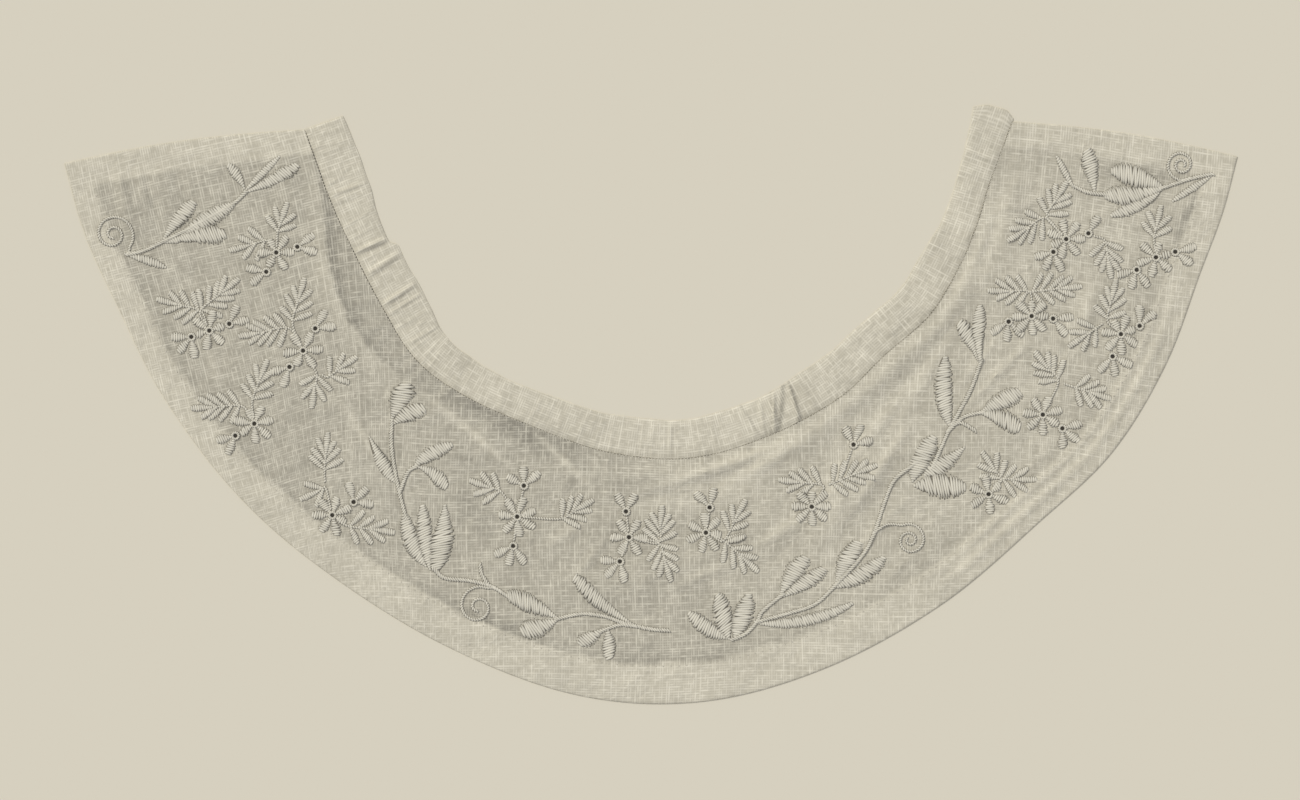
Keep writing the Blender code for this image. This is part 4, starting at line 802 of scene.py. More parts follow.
# shape: oval, drop (broad towards its tip) or spear (broad towards its root)
Leaf = namedtuple("Leaf", "spray shape root_x root_y tip_x tip_y width bow")
Stem = namedtuple("Stem", "spray route")
Tendril = namedtuple("Tendril", "spray from_x from_y x y radius inner start turns")
VINES = {  # leaves, stems and a tendril
    "vine_left": (
        (("drop", -195.2, 65.2, -183, 80.4, 5, 0.6),
         ("oval", -189, 66.6, -167.3, 79.6, 5.4, 0.2),
         ("drop", -195.5, 64.3, -170.7, 67.9, 6.4, 0.5),
         ("drop", -162.4, 85.2, -168.9, 95.2, 3.4, -0.8),
         ("oval", -162.4, 85, -148.7, 98.6, 2.6, 0),
         ("drop", -162.4, 84.4, -141.6, 95.2, 4.4, -0.8),
         ("oval", -208.8, 59, -194.2, 54.5, 2.9, 0.5)),
        (((-209.8, 59.5), (-203, 61.1), (-195.5, 64.6), (-180, 72.4), (-167.5, 79.6),
          (-162, 84.6)),),
        (-209.4, 59.7, -215.2, 67.8, 8.6, 1.6, -40, 1.85),
    ),
    "vine_low": (
        (("drop", -103.8, -6.4, -98.2, 7.5, 7.2, -0.6),
         ("drop", -103.4, -8.4, -91, -1.7, 6.2, 0.6),
         ("spear", -102.6, -31.2, -112.5, -13.5, 4.6, 0.8),
         ("oval", -94.6, -25.1, -79.8, -16.5, 5, 1),
         ("drop", -93.6, -25.1, -81.9, -33.1, 4.6, 1.2),
         ("oval", -90.2, -64.8, -98.4, -44.6, 5.4, 1.6),
         ("oval", -88.4, -66.2, -91.4, -41, 5.2, 0.5),
         ("spear", -85.8, -67, -82.4, -40.8, 8.4, -0.5),
         ("drop", -37.2, -86, -56.8, -77.2, 6.2, -1),
         ("drop", -37.4, -86.4, -51.3, -91.4, 6.4, 0.4),
         ("drop", -7.4, -88.2, -30.4, -69.6, 4.9, 1.2),
         ("drop", -19, -90.2, -28.3, -96.1, 4.9, 0),
         ("drop", -17.3, -89.6, -16.6, -101.7, 4.5, 0)),
        (((-103.6, -7), (-103.8, -17), (-101.8, -30.3), (-98, -46)),
         ((-100.6, -35.5), (-97.2, -27.4), (-93.6, -25)),
         ((-87.2, -65.8), (-82.4, -69.8), (-72.7, -70.8), (-63.5, -73.3), (-56, -78)),
         ((-68.4, -64.6), (-67.6, -68.4), (-64.6, -73.2)),
         ((-38, -86.2), (-27.8, -84.1), (-18.6, -85.1), (-11.5, -87.6), (-0.2, -90.2),
          (7, -90.7)),
         ((-6.4, -89), (-13, -88.6), (-20.6, -91.2))),
        (-60.6, -74.8, -69.2, -81.2, 8.4, 1.8, 62, 1.55),
    ),
    "vine_right": (
        (("oval", 30.2, -93.8, 15.4, -83.9, 5, 1), ("oval", 31.2, -94, 26.6, -76.7, 6.6, 0),
         ("oval", 33.6, -94, 39, -76.5, 6.2, -0.3), ("drop", 51.6, -77, 61.8, -61.7, 6, 0.6),
         ("drop", 52.2, -77.4, 68.9, -66.3, 5.4, -0.6), ("oval", 42, -87.8, 80.3, -80, 4, -3),
         ("drop", 73.8, -72.5, 82.9, -55.6, 6, 0.6),
         ("oval", 73.6, -73.5, 92.9, -61.7, 5.8, -1.2),
         ("oval", 104.6, -31, 113, -13.4, 6.8, 0.7),
         ("spear", 109.6, -28.6, 125.2, -17.6, 6.2, -0.5),
         ("oval", 105.4, -32.8, 125.4, -33.4, 7.8, 0.3),
         ("oval", 119.6, -9.3, 117.6, 18.3, 5.8, 1.6),
         ("drop", 131.6, 15.9, 123.4, 32.1, 5.8, -0.6),
         ("oval", 131.9, 15.9, 131.4, 38.9, 5.2, 0.8), ("drop", 131.6, -3.6, 147.2, 4.5, 6, 0),
         ("drop", 131.6, -3.6, 147.2, -9.5, 6.2, 0.6)),
        (((32.2, -94.5), (37.6, -92.2), (42.4, -87.2), (44.6, -83), (52.8, -76.2)),
         ((42, -87.4), (55.6, -83.7), (65.8, -80.1), (74.2, -72.1), (84.4, -60.9), (89.3, -51.7),
          (93.4, -39.5), (97.5, -30.3), (106, -23.7)),
         ((112.4, -26), (115.6, -18.6), (119.4, -10.2), (127.6, 5), (131.9, 17)),
         ((118.8, -11), (125, -5.4), (133, -3.4)),
         ((120.6, -8.4), (124.4, -7.8), (129.6, -10.8))),
        (89.2, -51.6, 103.4, -54.6, 6.8, 1.2, 118, -1.9),
    ),
    "vine_top": (
        (("oval", 204.6, 86.5, 184.4, 92.9, 7, -0.8), ("oval", 204.4, 86.1, 181.6, 83, 6.8, 1.1),
         ("oval", 202.8, 84, 184.2, 75.2, 4.4, 1), ("drop", 177.4, 84.2, 174.2, 101, 5.2, -0.4),
         ("oval", 168.9, 86.1, 162.3, 98.6, 2.4, 0), ("oval", 224, 90.9, 208.7, 81, 2.7, 0)),
        (((224.4, 91.7), (216.6, 90.1), (204, 86.1)),
         ((182.6, 83.5), (174.6, 84.5), (168.7, 87.1))),
        (217.4, 90.3, 212, 95.6, 6.6, 1.4, -55, -1.9),
    ),
}
LEAVES, STEMS, TENDRILS = [], [], []
for vine, (leaves, stems, tendril) in VINES.items():
    LEAVES += [Leaf(vine, *row) for row in leaves]
    STEMS += [Stem(vine, route) for route in stems]
    TENDRILS.append(Tendril(vine, *tendril))
print("flowers:", len(FLOWERS), "buds:", len(BUDS), "fronds:", len(FRONDS), "leaves:", len(LEAVES))

# %% [markdown]
# ## From tables to lines of stitches
#
# Padded satin stitch is laid in rows: the needle goes to and fro across the shape, over a bed
# of padding threads. So the whole design becomes a set of centre lines. At each point a line
# says how wide the row is there, how high it rises, how far its stitches slant, and how far
# apart they are. Leaves are wide rows, stems are narrow rows with a strong slant, and an eyelet
# is a short row bent into a ring.

# %% Lines of stitches
LEAF_PITCH, PETAL_PITCH, STEM_PITCH, RING_PITCH = 0.96, 0.82, 1.0, 0.66
PETAL_RISE, LEAFLET_RISE, STEM_RISE, RING_RISE = 0.55, 0.5, 0.5, 0.65
EYELET_CLEAR = 2.7  # nothing else comes nearer to an eyelet's middle
EYELET_LINE, EYELET_HALF, EYELET_POINTS = 1.35, 0.5, 12  # middle and half width of the ring
PETAL_FROM, PETAL_REACH, PETAL_WIDTH, PETAL_LEAST = 2.1, 7.5, 3.5, 2.0
PETAL_CLEAR, PETAL_SHORT = 2.6, 0.76  # a petal this near to a frond is made shorter
BUD_REACH, BUD_STEP, BUD_STALK = 1.04 * PETAL_REACH, 52, 9.5  # near buds have no stalk
LEAFLET_LENGTH, LEAFLET_WIDTH, LEAFLET_LEAST = 7.8, 2.7, 3.0
LEAFLET_SPREAD, LEAFLET_CLOSING, LEAFLET_SPACING, LEAFLET_SLANT = 62, 40, 3.3, 18
LEAF_OVERLAP = 0.4  # how far two leaves that grow from one place may overlap, each
LEAF_FULLNESS = 1.14  # a stitched leaf is wider than its row says
STEM_HALF, VINE_HALF, VINE_RISE, STEM_SLANT = 0.62, 1.12, 0.6, 48
TENDRIL_HALF, TENDRIL_RISE = 0.75, 0.55
TENDRIL_EASE = 1.4  # a coil closes faster at first than at its end
TENDRIL_SWING = 0.16  # how far the way to a coil swings out, over its length
PROFILES = {  # half widths at even steps from root to tip
    "oval": (0.14, 0.5, 0.78, 0.95, 1.0, 0.98, 0.9, 0.74, 0.36),
    "drop": (0.12, 0.3, 0.52, 0.74, 0.9, 1.0, 1.0, 0.9, 0.6),
    "spear": (0.2, 0.7, 0.96, 1.0, 0.9, 0.74, 0.54, 0.34, 0.14),
    "petal": (0.4, 0.55, 0.72, 0.87, 0.97, 1.0, 1.0, 0.96, 0.76),
}
Line = namedtuple("Line", "spots halves rises slant pitch closed")


def heading(degrees):
    return np.array([math.cos(math.radians(degrees)), math.sin(math.radians(degrees))])


def leaf_line(root, tip, width, profile, rise, slant, pitch, bow=0.0):
    root, tip = np.asarray(root, float), np.asarray(tip, float)
    share = np.linspace(0, 1, 15)
    run = tip - root
    side = unit(np.array([-run[1], run[0]]))
    spots = root + run * share[:, None] + side * (4 * bow * share * (1 - share))[:, None]
    halves = 0.5 * width * along(PROFILES[profile], share * 8)[:, 0]
    rises = rise * np.sqrt(halves / halves.max())
    return Line(spots, halves, rises, slant, pitch, False)


def stem_line(route, half, rise):
    route = np.asarray(route, float)
    count = 4 * len(route)
    spots = along(route, np.linspace(0, len(route) - 1, count))
    return Line(spots, np.full(count, half), np.full(count, rise), STEM_SLANT, STEM_PITCH, False)


def eyelet_line(x, y):
    spots = np.array([(x, y) + EYELET_LINE * heading(360 * i / EYELET_POINTS)
                      for i in range(EYELET_POINTS)])
    return Line(spots, np.full(EYELET_POINTS, EYELET_HALF), np.full(EYELET_POINTS, RING_RISE), 0,
                RING_PITCH, True)


def clear_reach(start, way, reach):
    """How far a petal or leaflet can run before it meets the ring of another eyelet."""
    for eye in FLOWERS + BUDS:
        rel = np.array([eye.x, eye.y]) - start
        ahead, aside = rel @ way, abs(way[0] * rel[1] - way[1] * rel[0])
        if ahead > 0.5 and aside < EYELET_CLEAR:
            reach = min(reach, ahead - math.sqrt(EYELET_CLEAR**2 - aside**2))
    return reach


def beside_frond(spray, spot):
    """Distance in millimetres from a spot to the nearest frond of its spray."""
    gaps = []
    for f in FRONDS:
        if f.spray == spray:
            way = heading(f.heading)
            rel = spot - np.array([f.fork_x, f.fork_y])
            on = np.clip(rel @ way, 0, f.length + LEAFLET_LENGTH)
            gaps.append(np.linalg.norm(rel - way * on))
    return min(gaps)


def petals(row, facing, count, step, reach):
    centre = np.array([row.x, row.y])
    for i in range(count):
        way = heading(facing + step * i + rng.uniform(-4, 4))
        full = reach * rng.uniform(0.94, 1.05)
        if beside_frond(row.spray, centre + way * full) < PETAL_CLEAR:
            full = PETAL_SHORT * reach
        full = clear_reach(centre, way, full)
        if full - PETAL_FROM > PETAL_LEAST:
            yield leaf_line(centre + way * PETAL_FROM, centre + way * full, PETAL_WIDTH, "petal",
                            PETAL_RISE, rng.uniform(-12, 12), PETAL_PITCH)


def flower_lines(row):
    yield from petals(row, row.turn, row.petals, 360 / row.petals, PETAL_REACH)
    yield eyelet_line(row.x, row.y)


def bud_lines(row):
    yield from petals(row, row.facing - 0.5 * BUD_STEP * (row.petals - 1), row.petals, BUD_STEP,
                      BUD_REACH)
    start, end = np.array([row.from_x, row.from_y]), np.array([row.x, row.y])
    if np.linalg.norm(end - start) > BUD_STALK:
        way = unit(end - start)
        yield stem_line((start + way * 2.7, end - way * 2.6), STEM_HALF, STEM_RISE)
    yield eyelet_line(row.x, row.y)


def frond_lines(row):
    fork, way = np.array([row.fork_x, row.fork_y]), heading(row.heading)
    start, end = np.array([row.from_x, row.from_y]), fork + way * row.length
    route = [fork, end]
    if np.linalg.norm(fork - start) > 2.9:
        route.insert(0, start + unit(fork - start) * 2.7)
    yield stem_line(route, STEM_HALF, STEM_RISE)
    pairs = max(row.pairs, round(row.length / LEAFLET_SPACING))
    for i in range(pairs):
        root = fork + way * row.length * ((i + 0.25) / pairs)
        spread = LEAFLET_SPREAD - LEAFLET_CLOSING * (i + 0.5) / pairs
        for side in (-1, 1):
            out = heading(row.heading + side * (spread + rng.uniform(-4, 4)))
            full = clear_reach(root, out, LEAFLET_LENGTH * rng.uniform(0.9, 1.06))
            middle = root + out * 0.6 * full
            if full > LEAFLET_LEAST and all(
                    math.hypot(*(middle - (f.x, f.y))) > PETAL_REACH - 1.2 for f in FLOWERS):
                yield leaf_line(root + out * 0.5, root + out * full, LEAFLET_WIDTH, "petal",
                                LEAFLET_RISE, -side * LEAFLET_SLANT, PETAL_PITCH)
    yield leaf_line(end, end + way * LEAFLET_LENGTH, LEAFLET_WIDTH, "petal", LEAFLET_RISE, 10,
                    PETAL_PITCH)


def big_leaf_lines(row):
    yield leaf_line((row.root_x, row.root_y), (row.tip_x, row.tip_y), LEAF_FULLNESS * row.width,
                    row.shape, 0.4 + 0.035 * row.width, rng.uniform(10, 24), LEAF_PITCH, row.bow)


def parted(lines):
    """Leaves that would cover each other, each made narrower so that they only just touch."""
    narrow = []
    for line in lines:
        halves = line.halves.copy()
        for other in lines:
            if other is not line:
                gap = np.linalg.norm(line.spots[:, None] - other.spots, axis=2)
                nearest = gap.argmin(axis=1)
                share = line.halves / (line.halves + other.halves[nearest])
                halves = np.minimum(halves, gap.min(axis=1) * share + LEAF_OVERLAP)
        narrow.append(line._replace(halves=np.maximum(halves, 0.3)))
    return narrow


def stem_lines(row):
    yield stem_line(row.route, VINE_HALF, VINE_RISE)


def tendril_lines(row):
    root = np.array([row.from_x, row.from_y])
    coil = []
    for share in np.linspace(0, 1, round(abs(row.turns) * 16)):
        radius = row.inner + (row.radius - row.inner) * (1 - share) ** TENDRIL_EASE
        coil.append((row.x, row.y) + radius * heading(row.start + 360 * row.turns * share))
    way = coil[0] - root
    swing = np.array([way[1], -way[0]]) * math.copysign(TENDRIL_SWING, row.turns)
    yield stem_line([root, root + 0.5 * way + swing, *coil], TENDRIL_HALF, TENDRIL_RISE)


rng = np.random.default_rng(3)
LINES = {}
for maker, rows in ((big_leaf_lines, LEAVES), (stem_lines, STEMS), (tendril_lines, TENDRILS),
                    (frond_lines, FRONDS), (bud_lines, BUDS), (flower_lines, FLOWERS)):
    for row in rows:
        LINES.setdefault(row.spray, []).extend(maker(row))
    if rows is LEAVES:
        LINES = {spray: parted(lines) for spray, lines in LINES.items()}
print("lines of stitches:", sum(len(v) for v in LINES.values()), "in", len(LINES), "pieces")

# %% [markdown]
# ## What is sewn later lies on top
#
# Where two leaves meet, the one that was sewn last overlaps the other. Each line is therefore
# raised by the leaves and petals of its own spray that it crosses, or the two would run
# together into one lump. Stems and rings are sewn straight on to the cloth.

# %% Stack the lines
OVER = 1.1  # how far a line rises over the one below, as a share of that one's height


def side_ways(line):
    """Unit vectors along and across a line at its points."""
    runs = np.gradient(line.spots, axis=0)
    if line.closed:
        runs = np.roll(line.spots, -1, axis=0) - np.roll(line.spots, 1, axis=0)
    runs = runs / np.linalg.norm(runs, axis=1)[:, None]
    return runs, np.column_stack((-runs[:, 1], runs[:, 0]))


def stacked(lines):
    """How far each line is raised at its points, in the order of sewing."""
    spots, halves, tops, lifts = np.empty((0, 2)), np.empty(0), np.empty(0), []
    for line in lines:
        lift = np.zeros(len(line.spots))
        sides = side_ways(line)[1] * line.halves[:, None]
        if len(spots) and not line.closed and line.slant != STEM_SLANT:
            for across in (-0.6, 0.0, 0.6):
                gap = np.linalg.norm((line.spots + across * sides)[:, None] - spots, axis=2)
                inside = np.clip(1 - (gap / (halves + 0.2)) ** 2, 0, 1)
                lift = np.maximum(lift, (tops * np.sqrt(inside)).max(axis=1))
            lift = np.convolve(np.pad(lift, 1, "edge"), (0.25, 0.5, 0.25), "valid")
        lifts.append(OVER * lift)
        if line.slant != STEM_SLANT:
            spots = np.vstack((spots, line.spots))
            halves = np.concatenate((halves, line.halves))
            tops = np.concatenate((tops, OVER * lift + line.rises))
    return lifts


LIFTS = {name: stacked(lines) for name, lines in LINES.items()}
print("raised most:", round(max(float(lift.max()) for row in LIFTS.values() for lift in row), 2))

# %% [markdown]
# ## White embroidery thread
#
# The thread is soft, loosely twisted cotton. Laid side by side it has a low silky shine. Each
# stitch is painted with shade: lightest on its crown, darkest down its flanks and where it dives
# into the cloth, which is what makes every leaf look combed. The stitches carry how near a point
# is to the stitch's end and to its flank, and the material paints shade towards them. A second
# finish, duller and darker, painted shade all over, is for the padding that shows between
# stitches and for the shadowed inside of the eyelets.


# %% Thread materials
def thread(name, crown, end, roughness):
    """Soft cotton thread with a low silky shine, fine twist lines, and painted shade at its ends
    and down its flanks.
    """
    made, tree, shader = new_material(name, Roughness=roughness, Specular_IOR_Level=0.35,
                                      Sheen_Weight=0.2, Sheen_Roughness=0.4)
    ends, tone, flank = (attribute(tree, key) for key in ("end", "tone", "flank"))
    # painted shade: darker down the flanks of a stitch and towards its ends
    side = maths(tree, "POWER", flank, 1.6)
    painted_shade = maths(tree, "MULTIPLY_ADD", side, 0.5, maths(tree, "POWER", ends, 4.0), clamp=True)
    colour = mixed(tree, painted_shade, linear(crown), linear(end))
    position = tree.nodes.new("ShaderNodeTexCoord").outputs["Object"]
    ply = add(tree, "ShaderNodeCombineXYZ", X=side, Y=ends, Z=tone)
    ply = add(tree, "ShaderNodeVectorMath", {"operation": "MULTIPLY_ADD"}, in0=ply,
              in1=(5.0, 1.2, 60.0), in2=position)
    fibre = add(tree, "ShaderNodeTexNoise", Vector=ply, Scale=1.6, Detail=2.0)
    value = maths(tree, "MULTIPLY", maths(tree, "MULTIPLY_ADD", tone, 0.16, 0.92),
                  maths(tree, "MULTIPLY_ADD", fibre, 0.2, 0.9))
    colour = add(tree, "ShaderNodeVectorMath", {"operation": "SCALE"}, Vector=colour, Scale=value)
    bump = add(tree, "ShaderNodeBump", Height=fibre, Strength=0.25, Distance=0.0002)
    tree.links.new(colour, shader["Base Color"])
    tree.links.new(bump, shader["Normal"])
    return made


# the second colour is the painted shade at ends and flanks; padding and eyelets are painted shade
# all over
white_thread = thread("soft_white_cotton_thread", "DBD6C7", "5E594E", 0.65)
padding_thread = thread("padding_thread_in_shade", "857F72", "857F72", 0.8)
sewing_thread = thread("fine_linen_sewing_thread", "CDC7B8", "A8A293", 0.8)
eyelet_shade = thread("eyelet_in_shade", "423E37", "423E37", 0.9)
print("threads:", white_thread.name, padding_thread.name, eyelet_shade.name)

# %% [markdown]
# ## A Geometry Nodes tree that sews
#
# There are thousands of stitches, too many to place by hand, and they all follow one rule,
# which is what Geometry Nodes are for. The tree first makes one unit stitch: a line from -1 to
# 1 that is arched, tapered to its ends and given a round section. Then it turns each centre
# line into a curve, walks along it at the line's own pitch, and at every step puts down a
# stitch that is stretched to the row's width and height and turned across the line.

# %% The sewing tree
ARCH, ARCH_POWER = 0.62, 3.2  # height of a unit stitch, and how square its arch is
TAPER, TAPER_POWER = 0.5, 4.0
TURN_WOBBLE = 0.12
INPUTS = (("Lines", "NodeSocketGeometry", None), ("Sides", "NodeSocketInt", 6),
          ("Steps", "NodeSocketInt", 7), ("Crowding", "NodeSocketFloat", 0.6),
          ("Unevenness", "NodeSocketFloat", 0.09), ("Seed", "NodeSocketInt", 4),
          ("Thread", "NodeSocketMaterial", None))


def sewing_tree():
    tree = bpy.data.node_groups.new("satin_stitches", "GeometryNodeTree")
    for name, kind, value in INPUTS:
        socket = tree.interface.new_socket(name=name, in_out="INPUT", socket_type=kind)
        if value is not None:
            socket.default_value = value
    tree.interface.new_socket(name="Stitches", in_out="OUTPUT", socket_type="NodeSocketGeometry")
    entry = tree.nodes.new("NodeGroupInput").outputs

    def node(kind, settings=(), **inputs):
        return add(tree, "GeometryNode" + kind, settings, **inputs)

    def sums(operation, *values):
        return maths(tree, operation, *values)

    def vector(**parts):
        return add(tree, "ShaderNodeCombineXYZ", **parts)

    def part(field, axis):
        return add(tree, "ShaderNodeSeparateXYZ", Vector=field).node.outputs[axis]

    def read(name):
        return node("InputNamedAttribute", {"data_type": "FLOAT"}, Name=name)

    def store(geometry, name, value):
        return node("StoreNamedAttribute", {"data_type": "FLOAT", "domain": "POINT"},
                    Geometry=geometry, Name=name, Value=value)

    def wobble(low, high, extra):
        return add(tree, "FunctionNodeRandomValue", {"data_type": "FLOAT"}, Min=low, Max=high,
                   Seed=sums("ADD", entry["Seed"], extra)).node.outputs[1]

    # one stitch, from -1 to 1 along X
    line = node("CurvePrimitiveLine", Start=(-1, 0, 0), End=(1, 0, 0))
    line = node("ResampleCurve", {"mode": "COUNT"}, Curve=line, Count=entry["Steps"])
    place = node("InputPosition")
    line = store(line, "end", sums("ABSOLUTE", part(place, "X")))
    end = read("end")
    arch = sums("MULTIPLY", sums("SUBTRACT", 1.0, sums("POWER", end, ARCH_POWER)), ARCH)
    line = node("SetPosition", Geometry=line, Offset=vector(Z=arch))
    taper = sums("SUBTRACT", 1.0, sums("MULTIPLY", sums("POWER", end, TAPER_POWER), TAPER))
    ring = node("CurvePrimitiveCircle", Resolution=entry["Sides"], Radius=1.0)
    stitch = node("CurveToMesh", Curve=line, Profile_Curve=ring,
                  Scale=sums("MULTIPLY", taper, entry["Crowding"]), Fill_Caps=True)
    stitch = node("SetShadeSmooth", Geometry=stitch, Shade_Smooth=True)
    crown = sums("DIVIDE", sums("SUBTRACT", part(place, "Z"), arch), entry["Crowding"])
    stitch = store(stitch, "flank", sums("SUBTRACT", 1.0, crown))

    # walk along the centre lines
    curve = node("MeshToCurve", Mesh=entry["Lines"])
    curve = node("ResampleCurve", {"mode": "LENGTH"}, Curve=curve, Length=read("pitch"))
    tangent = node("InputTangent")
    turn = sums("ARCTAN2", part(tangent, "Y"), part(tangent, "X"))
    for more in (read("slant"), wobble(-TURN_WOBBLE, TURN_WOBBLE, 1), math.pi / 2):
        turn = sums("ADD", turn, more)
    uneven = sums("MULTIPLY", wobble(-1.0, 1.0, 2), entry["Unevenness"])
    across = sums("MULTIPLY", read("half"), sums("ADD", uneven, 1.0))
    # slanting stitches lie closer together, so they are thinner
    thick = sums("MULTIPLY", read("pitch"), sums("COSINE", read("slant")))
    curve = store(curve, "tone", wobble(0.0, 1.0, 3))
    made = node("InstanceOnPoints", Points=curve, Instance=stitch, Rotation=vector(Z=turn),
                Scale=vector(X=across, Y=thick, Z=read("rise")))
    made = node("RealizeInstances", Geometry=made)
    made = node("SetMaterial", Geometry=made, Material=entry["Thread"])
    tree.links.new(made, tree.nodes.new("NodeGroupOutput").inputs["Stitches"])
    return tree


sewing = sewing_tree()
SOCKETS = {item.name: item.identifier for item in sewing.interface.items_tree}
print("sewing tree:", len(sewing.nodes), "nodes")

# %% [markdown]
# ## Sewing the sprays
#
# Each spray's lines become a mesh of bare edges that carries the four numbers. The lines lie on
# the cloth, whose height is found by dropping a ray on to it. The tree turns them into
# stitches, and the result is kept as a plain mesh.


# %% Sew one piece
CARRIED = ("half", "rise", "slant", "pitch")
SINK = 0.05  # the lines lie this deep in the cloth
HALF_LEAST = 0.3


def at_point(x, y, z):
    """A point of the plan in metres, where the solids are."""
    return x * MM, (y + SHIFT_Y) * MM, z * MM


def cloth_height(x, y):
    """Height of the lawn's upper side in millimetres at a point of the plan."""
    hit = cloth_tree.ray_cast(Vector(at_point(x, y, 50)), Vector((0, 0, -1)))[0]
    return hit.z / MM if hit is not None else LIE + WALL


def sew(name, lines, lifts, finish, **sizes):
    """Stitches along lines, as a plain mesh. sizes are inputs of the tree by name."""
    points, edges, values = [], [], []
    for line, raised in zip(lines, lifts):
        first, count = len(points), len(line.spots)
        for (x, y), half, rise, lift in zip(line.spots, line.halves, line.rises, raised):
            points.append(at_point(x, y, cloth_height(x, y) - SINK + lift))
            values.append((max(half, HALF_LEAST) * MM, rise * MM, math.radians(line.slant),
                           line.pitch * MM))
        edges += [(first + i, first + i + 1) for i in range(count - 1)]
        if line.closed:
            edges.append((first + count - 1, first))
    bare = bpy.data.meshes.new(name)
    bare.from_pydata(points, edges, [])
    for key, numbers in zip(CARRIED, zip(*values)):
        bare.attributes.new(key, "FLOAT", "POINT").data.foreach_set("value", numbers)
    work = bpy.data.objects.new(name + "_lines", bare)
    scene.collection.objects.link(work)
    modifier = work.modifiers.new("sewing", "NODES")
    modifier.node_group = sewing
    for key, value in {"Thread": finish, **sizes}.items():
        modifier[SOCKETS[key]] = value
    graph = bpy.context.evaluated_depsgraph_get()
    mesh = bpy.data.meshes.new_from_object(work.evaluated_get(graph))
    bpy.data.objects.remove(work)
    for key in (*CARRIED, "radius"):
        if key in mesh.attributes:
            mesh.attributes.remove(mesh.attributes[key])
    return new_object(name, mesh, finish)


sewn = {name: sew(name + "_stitches", lines, LIFTS[name], white_thread)
        for name, lines in LINES.items()}
for made in sewn.values():
    print(made.name, len(made.data.polygons), "faces")

# %% [markdown]
# ## Padding under the stitches
#
# Between two stitches you see a sliver of the padding threads below. A low mound under every
# leaf and petal closes that gap and gives it a dull tone of painted shade, and its rim shows
# just beyond the stitches as a dark outline of painted shade. The eyelets get a small dark disc
# instead, for the hole that the needle pierced and the shadow inside it.


# %% Padding and eyelets
RIM = 0.15  # painted shade: the dark padding shows this far beyond the stitches as an outline
BED_WIDTH, BED_HEIGHT, BED_SINK = 0.85, 0.62, 0.03
# across the line, share of the bed's height, and the rim's height in millimetres
PROFILE = ((-1, 0, 0), (-1, 0, 0.07), (-0.8, 0.1, 0.1), (-0.4, 0.8, 0), (0.4, 0.8, 0),
           (0.8, 0.1, 0.1), (1, 0, 0.07), (1, 0, 0))
HOLE_RADIUS, HOLE_SIDES, HOLE_HEIGHTS = 1.2, 16, (0.14, -0.05)


def tube_faces(first, rings, sides, closed):
    """Faces between rings of points, and over the two ends of an open row of them."""
    faces = []
    for i in range(rings if closed else rings - 1):
        a, b = first + i * sides, first + (i + 1) % rings * sides
        faces += [(a + k, b + k, b + (k + 1) % sides, a + (k + 1) % sides) for k in range(sides)]
    if not closed:
        faces.append(tuple(first + k for k in range(sides)))
        faces.append(tuple(first + (rings - 1) * sides + k for k in reversed(range(sides))))
    return faces


# the padding's finish is painted shade, and its rim makes a dark outline of painted shade round
# each row
points, faces = [], []
for name, lines in LINES.items():
    for line, raised in zip(lines, LIFTS[name]):
        faces += tube_faces(len(points), len(line.spots), len(PROFILE), line.closed)
        ends = np.zeros(len(line.spots))
        if not line.closed:
            ends[0], ends[-1] = -RIM, RIM
        width = BED_WIDTH * math.cos(math.radians(line.slant)) * line.halves
        for spot, run, side, half, rise, end, over in zip(
                line.spots, *side_ways(line), width, line.rises, ends, raised):
            for across, up, lift in PROFILE:
                x, y = spot + run * end + side * across * (half + RIM * abs(across) ** 3)
                z = cloth_height(x, y) - BED_SINK + up * rise * BED_HEIGHT
                points.append(at_point(x, y, z + (lift + over if lift or up else 0)))
padding = new_object("padding", (points, faces), padding_thread)
padding.data.shade_smooth()

points, faces = [], []
for row in FLOWERS + BUDS:
    faces += tube_faces(len(points), len(HOLE_HEIGHTS), HOLE_SIDES, False)
    for z in HOLE_HEIGHTS:
        for k in range(HOLE_SIDES):
            x, y = (row.x, row.y) + HOLE_RADIUS * heading(360 * k / HOLE_SIDES)
            points.append(at_point(x, y, cloth_height(x, y) + z))
eyelets = new_object("eyelets", (points, faces), eyelet_shade)
print("padding:", len(padding.data.polygons), "faces; eyelets:", len(FLOWERS + BUDS))

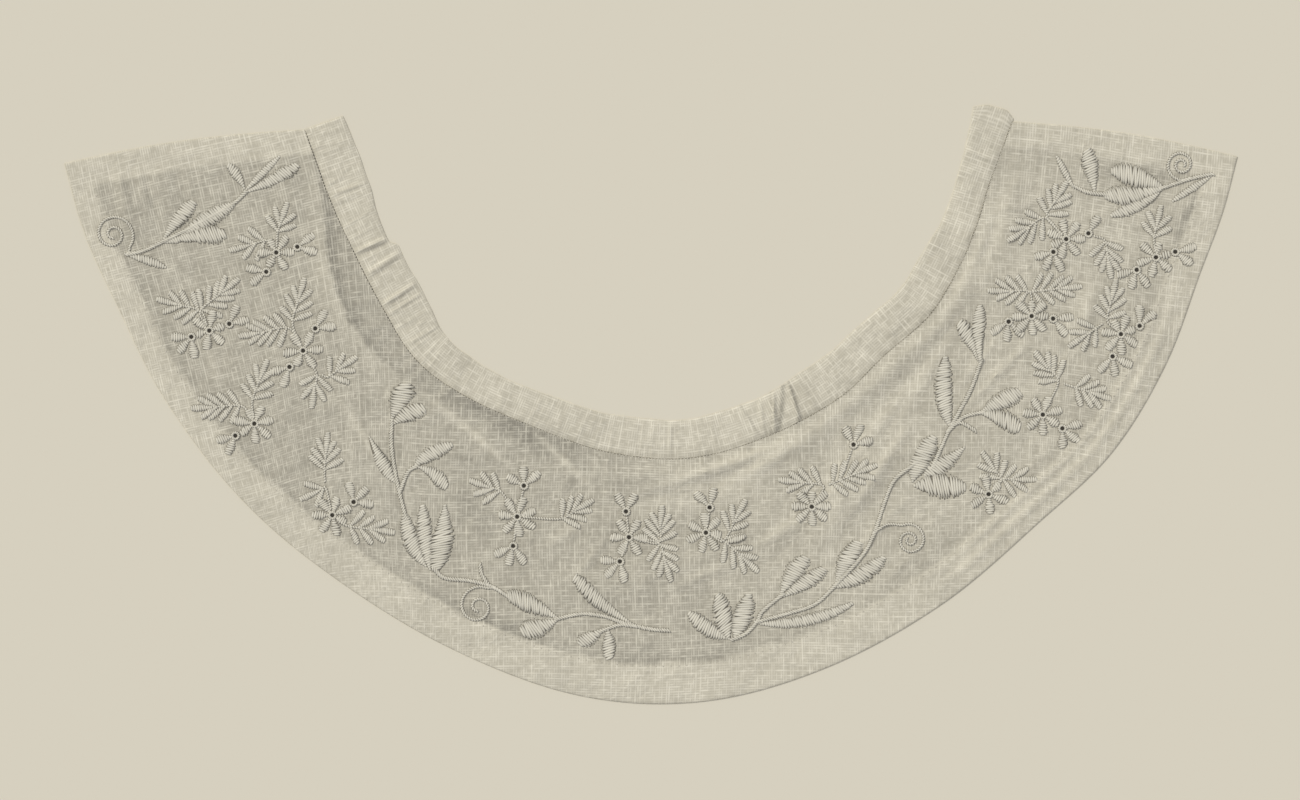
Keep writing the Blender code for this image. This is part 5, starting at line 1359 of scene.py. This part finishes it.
# %% [markdown]
# ## Plain sewing
#
# The neckband is felled down with small slanting stitches, and the turnings are held with tiny
# ones that show on the right side as faint dashes. The same tree sews them, with a longer
# pitch.

# %% Seam and hem stitches
DASH_SLANT, DASH_LENGTH, DASH_PITCH = 35, 0.2, 0.4  # one stitch fits on such a short line


def dashes(spots, step, half, rise):
    """Single short stitches across a line, as two-point lines of their own."""
    run = length_along(spots)
    marks = np.arange(step / 2, run[-1], step)
    x, y, x_on, y_on = (np.interp(marks + more, run, spots[:, k])
                        for more in (0, DASH_LENGTH) for k in (0, 1))
    return [Line(np.array([(a, b), (c, d)]), np.full(2, half), np.full(2, rise), DASH_SLANT,
                 DASH_PITCH, False) for a, b, c, d in zip(x, y, x_on, y_on)]


hem_at = np.linspace(0.35, LAST - 0.42, 900)
hem_line = collar_plan(hem_at, along(HEM, hem_at)[:, 0] - 0.4)
seam_spots, inward = band_frame(np.linspace(0.02, LAST - 0.02, 700))
hem_stitches, seam_stitches = (
    sew(name, lines, [(0, 0)] * len(lines), sewing_thread, Sides=4, Steps=steps)
    for name, lines, steps in (
        ("hem_stitches", dashes(hem_line, 3.1, 0.35, 0.14), 5),
        ("seam_stitches", dashes(seam_spots - inward * 0.05, 1.3, 0.3, 0.12), 4),
    )
)
print("plain sewing:", len(hem_stitches.data.polygons) + len(seam_stitches.data.polygons), "faces")

# %% [markdown]
# ## Hand the pieces over
# Every piece moves with the collar's one body, and the solids that each finer piece was made
# over are hidden. Each finer piece stands for the solids that it
# was made over, and the lawn is declared as the sheet of cloth that it was cut from.

# %% Bodies and replaced solids
dressed = {"collar_panel": collar, "outer_hem": outer_turning, "neckband": neckband,
           "front_hem_left": front_turnings[0], "front_hem_right": front_turnings[1], **sewn}
slots = {"collar_panel": "single_linen", **dict.fromkeys(sewn, "cotton_thread")}
for node, piece in dressed.items():
    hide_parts(node)
    slots.get(node, "double_linen")
for piece in (*dressed.values(), padding, eyelets, hem_stitches, seam_stitches):
    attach(piece, "root")

print("pieces:", len(dressed) + 4)
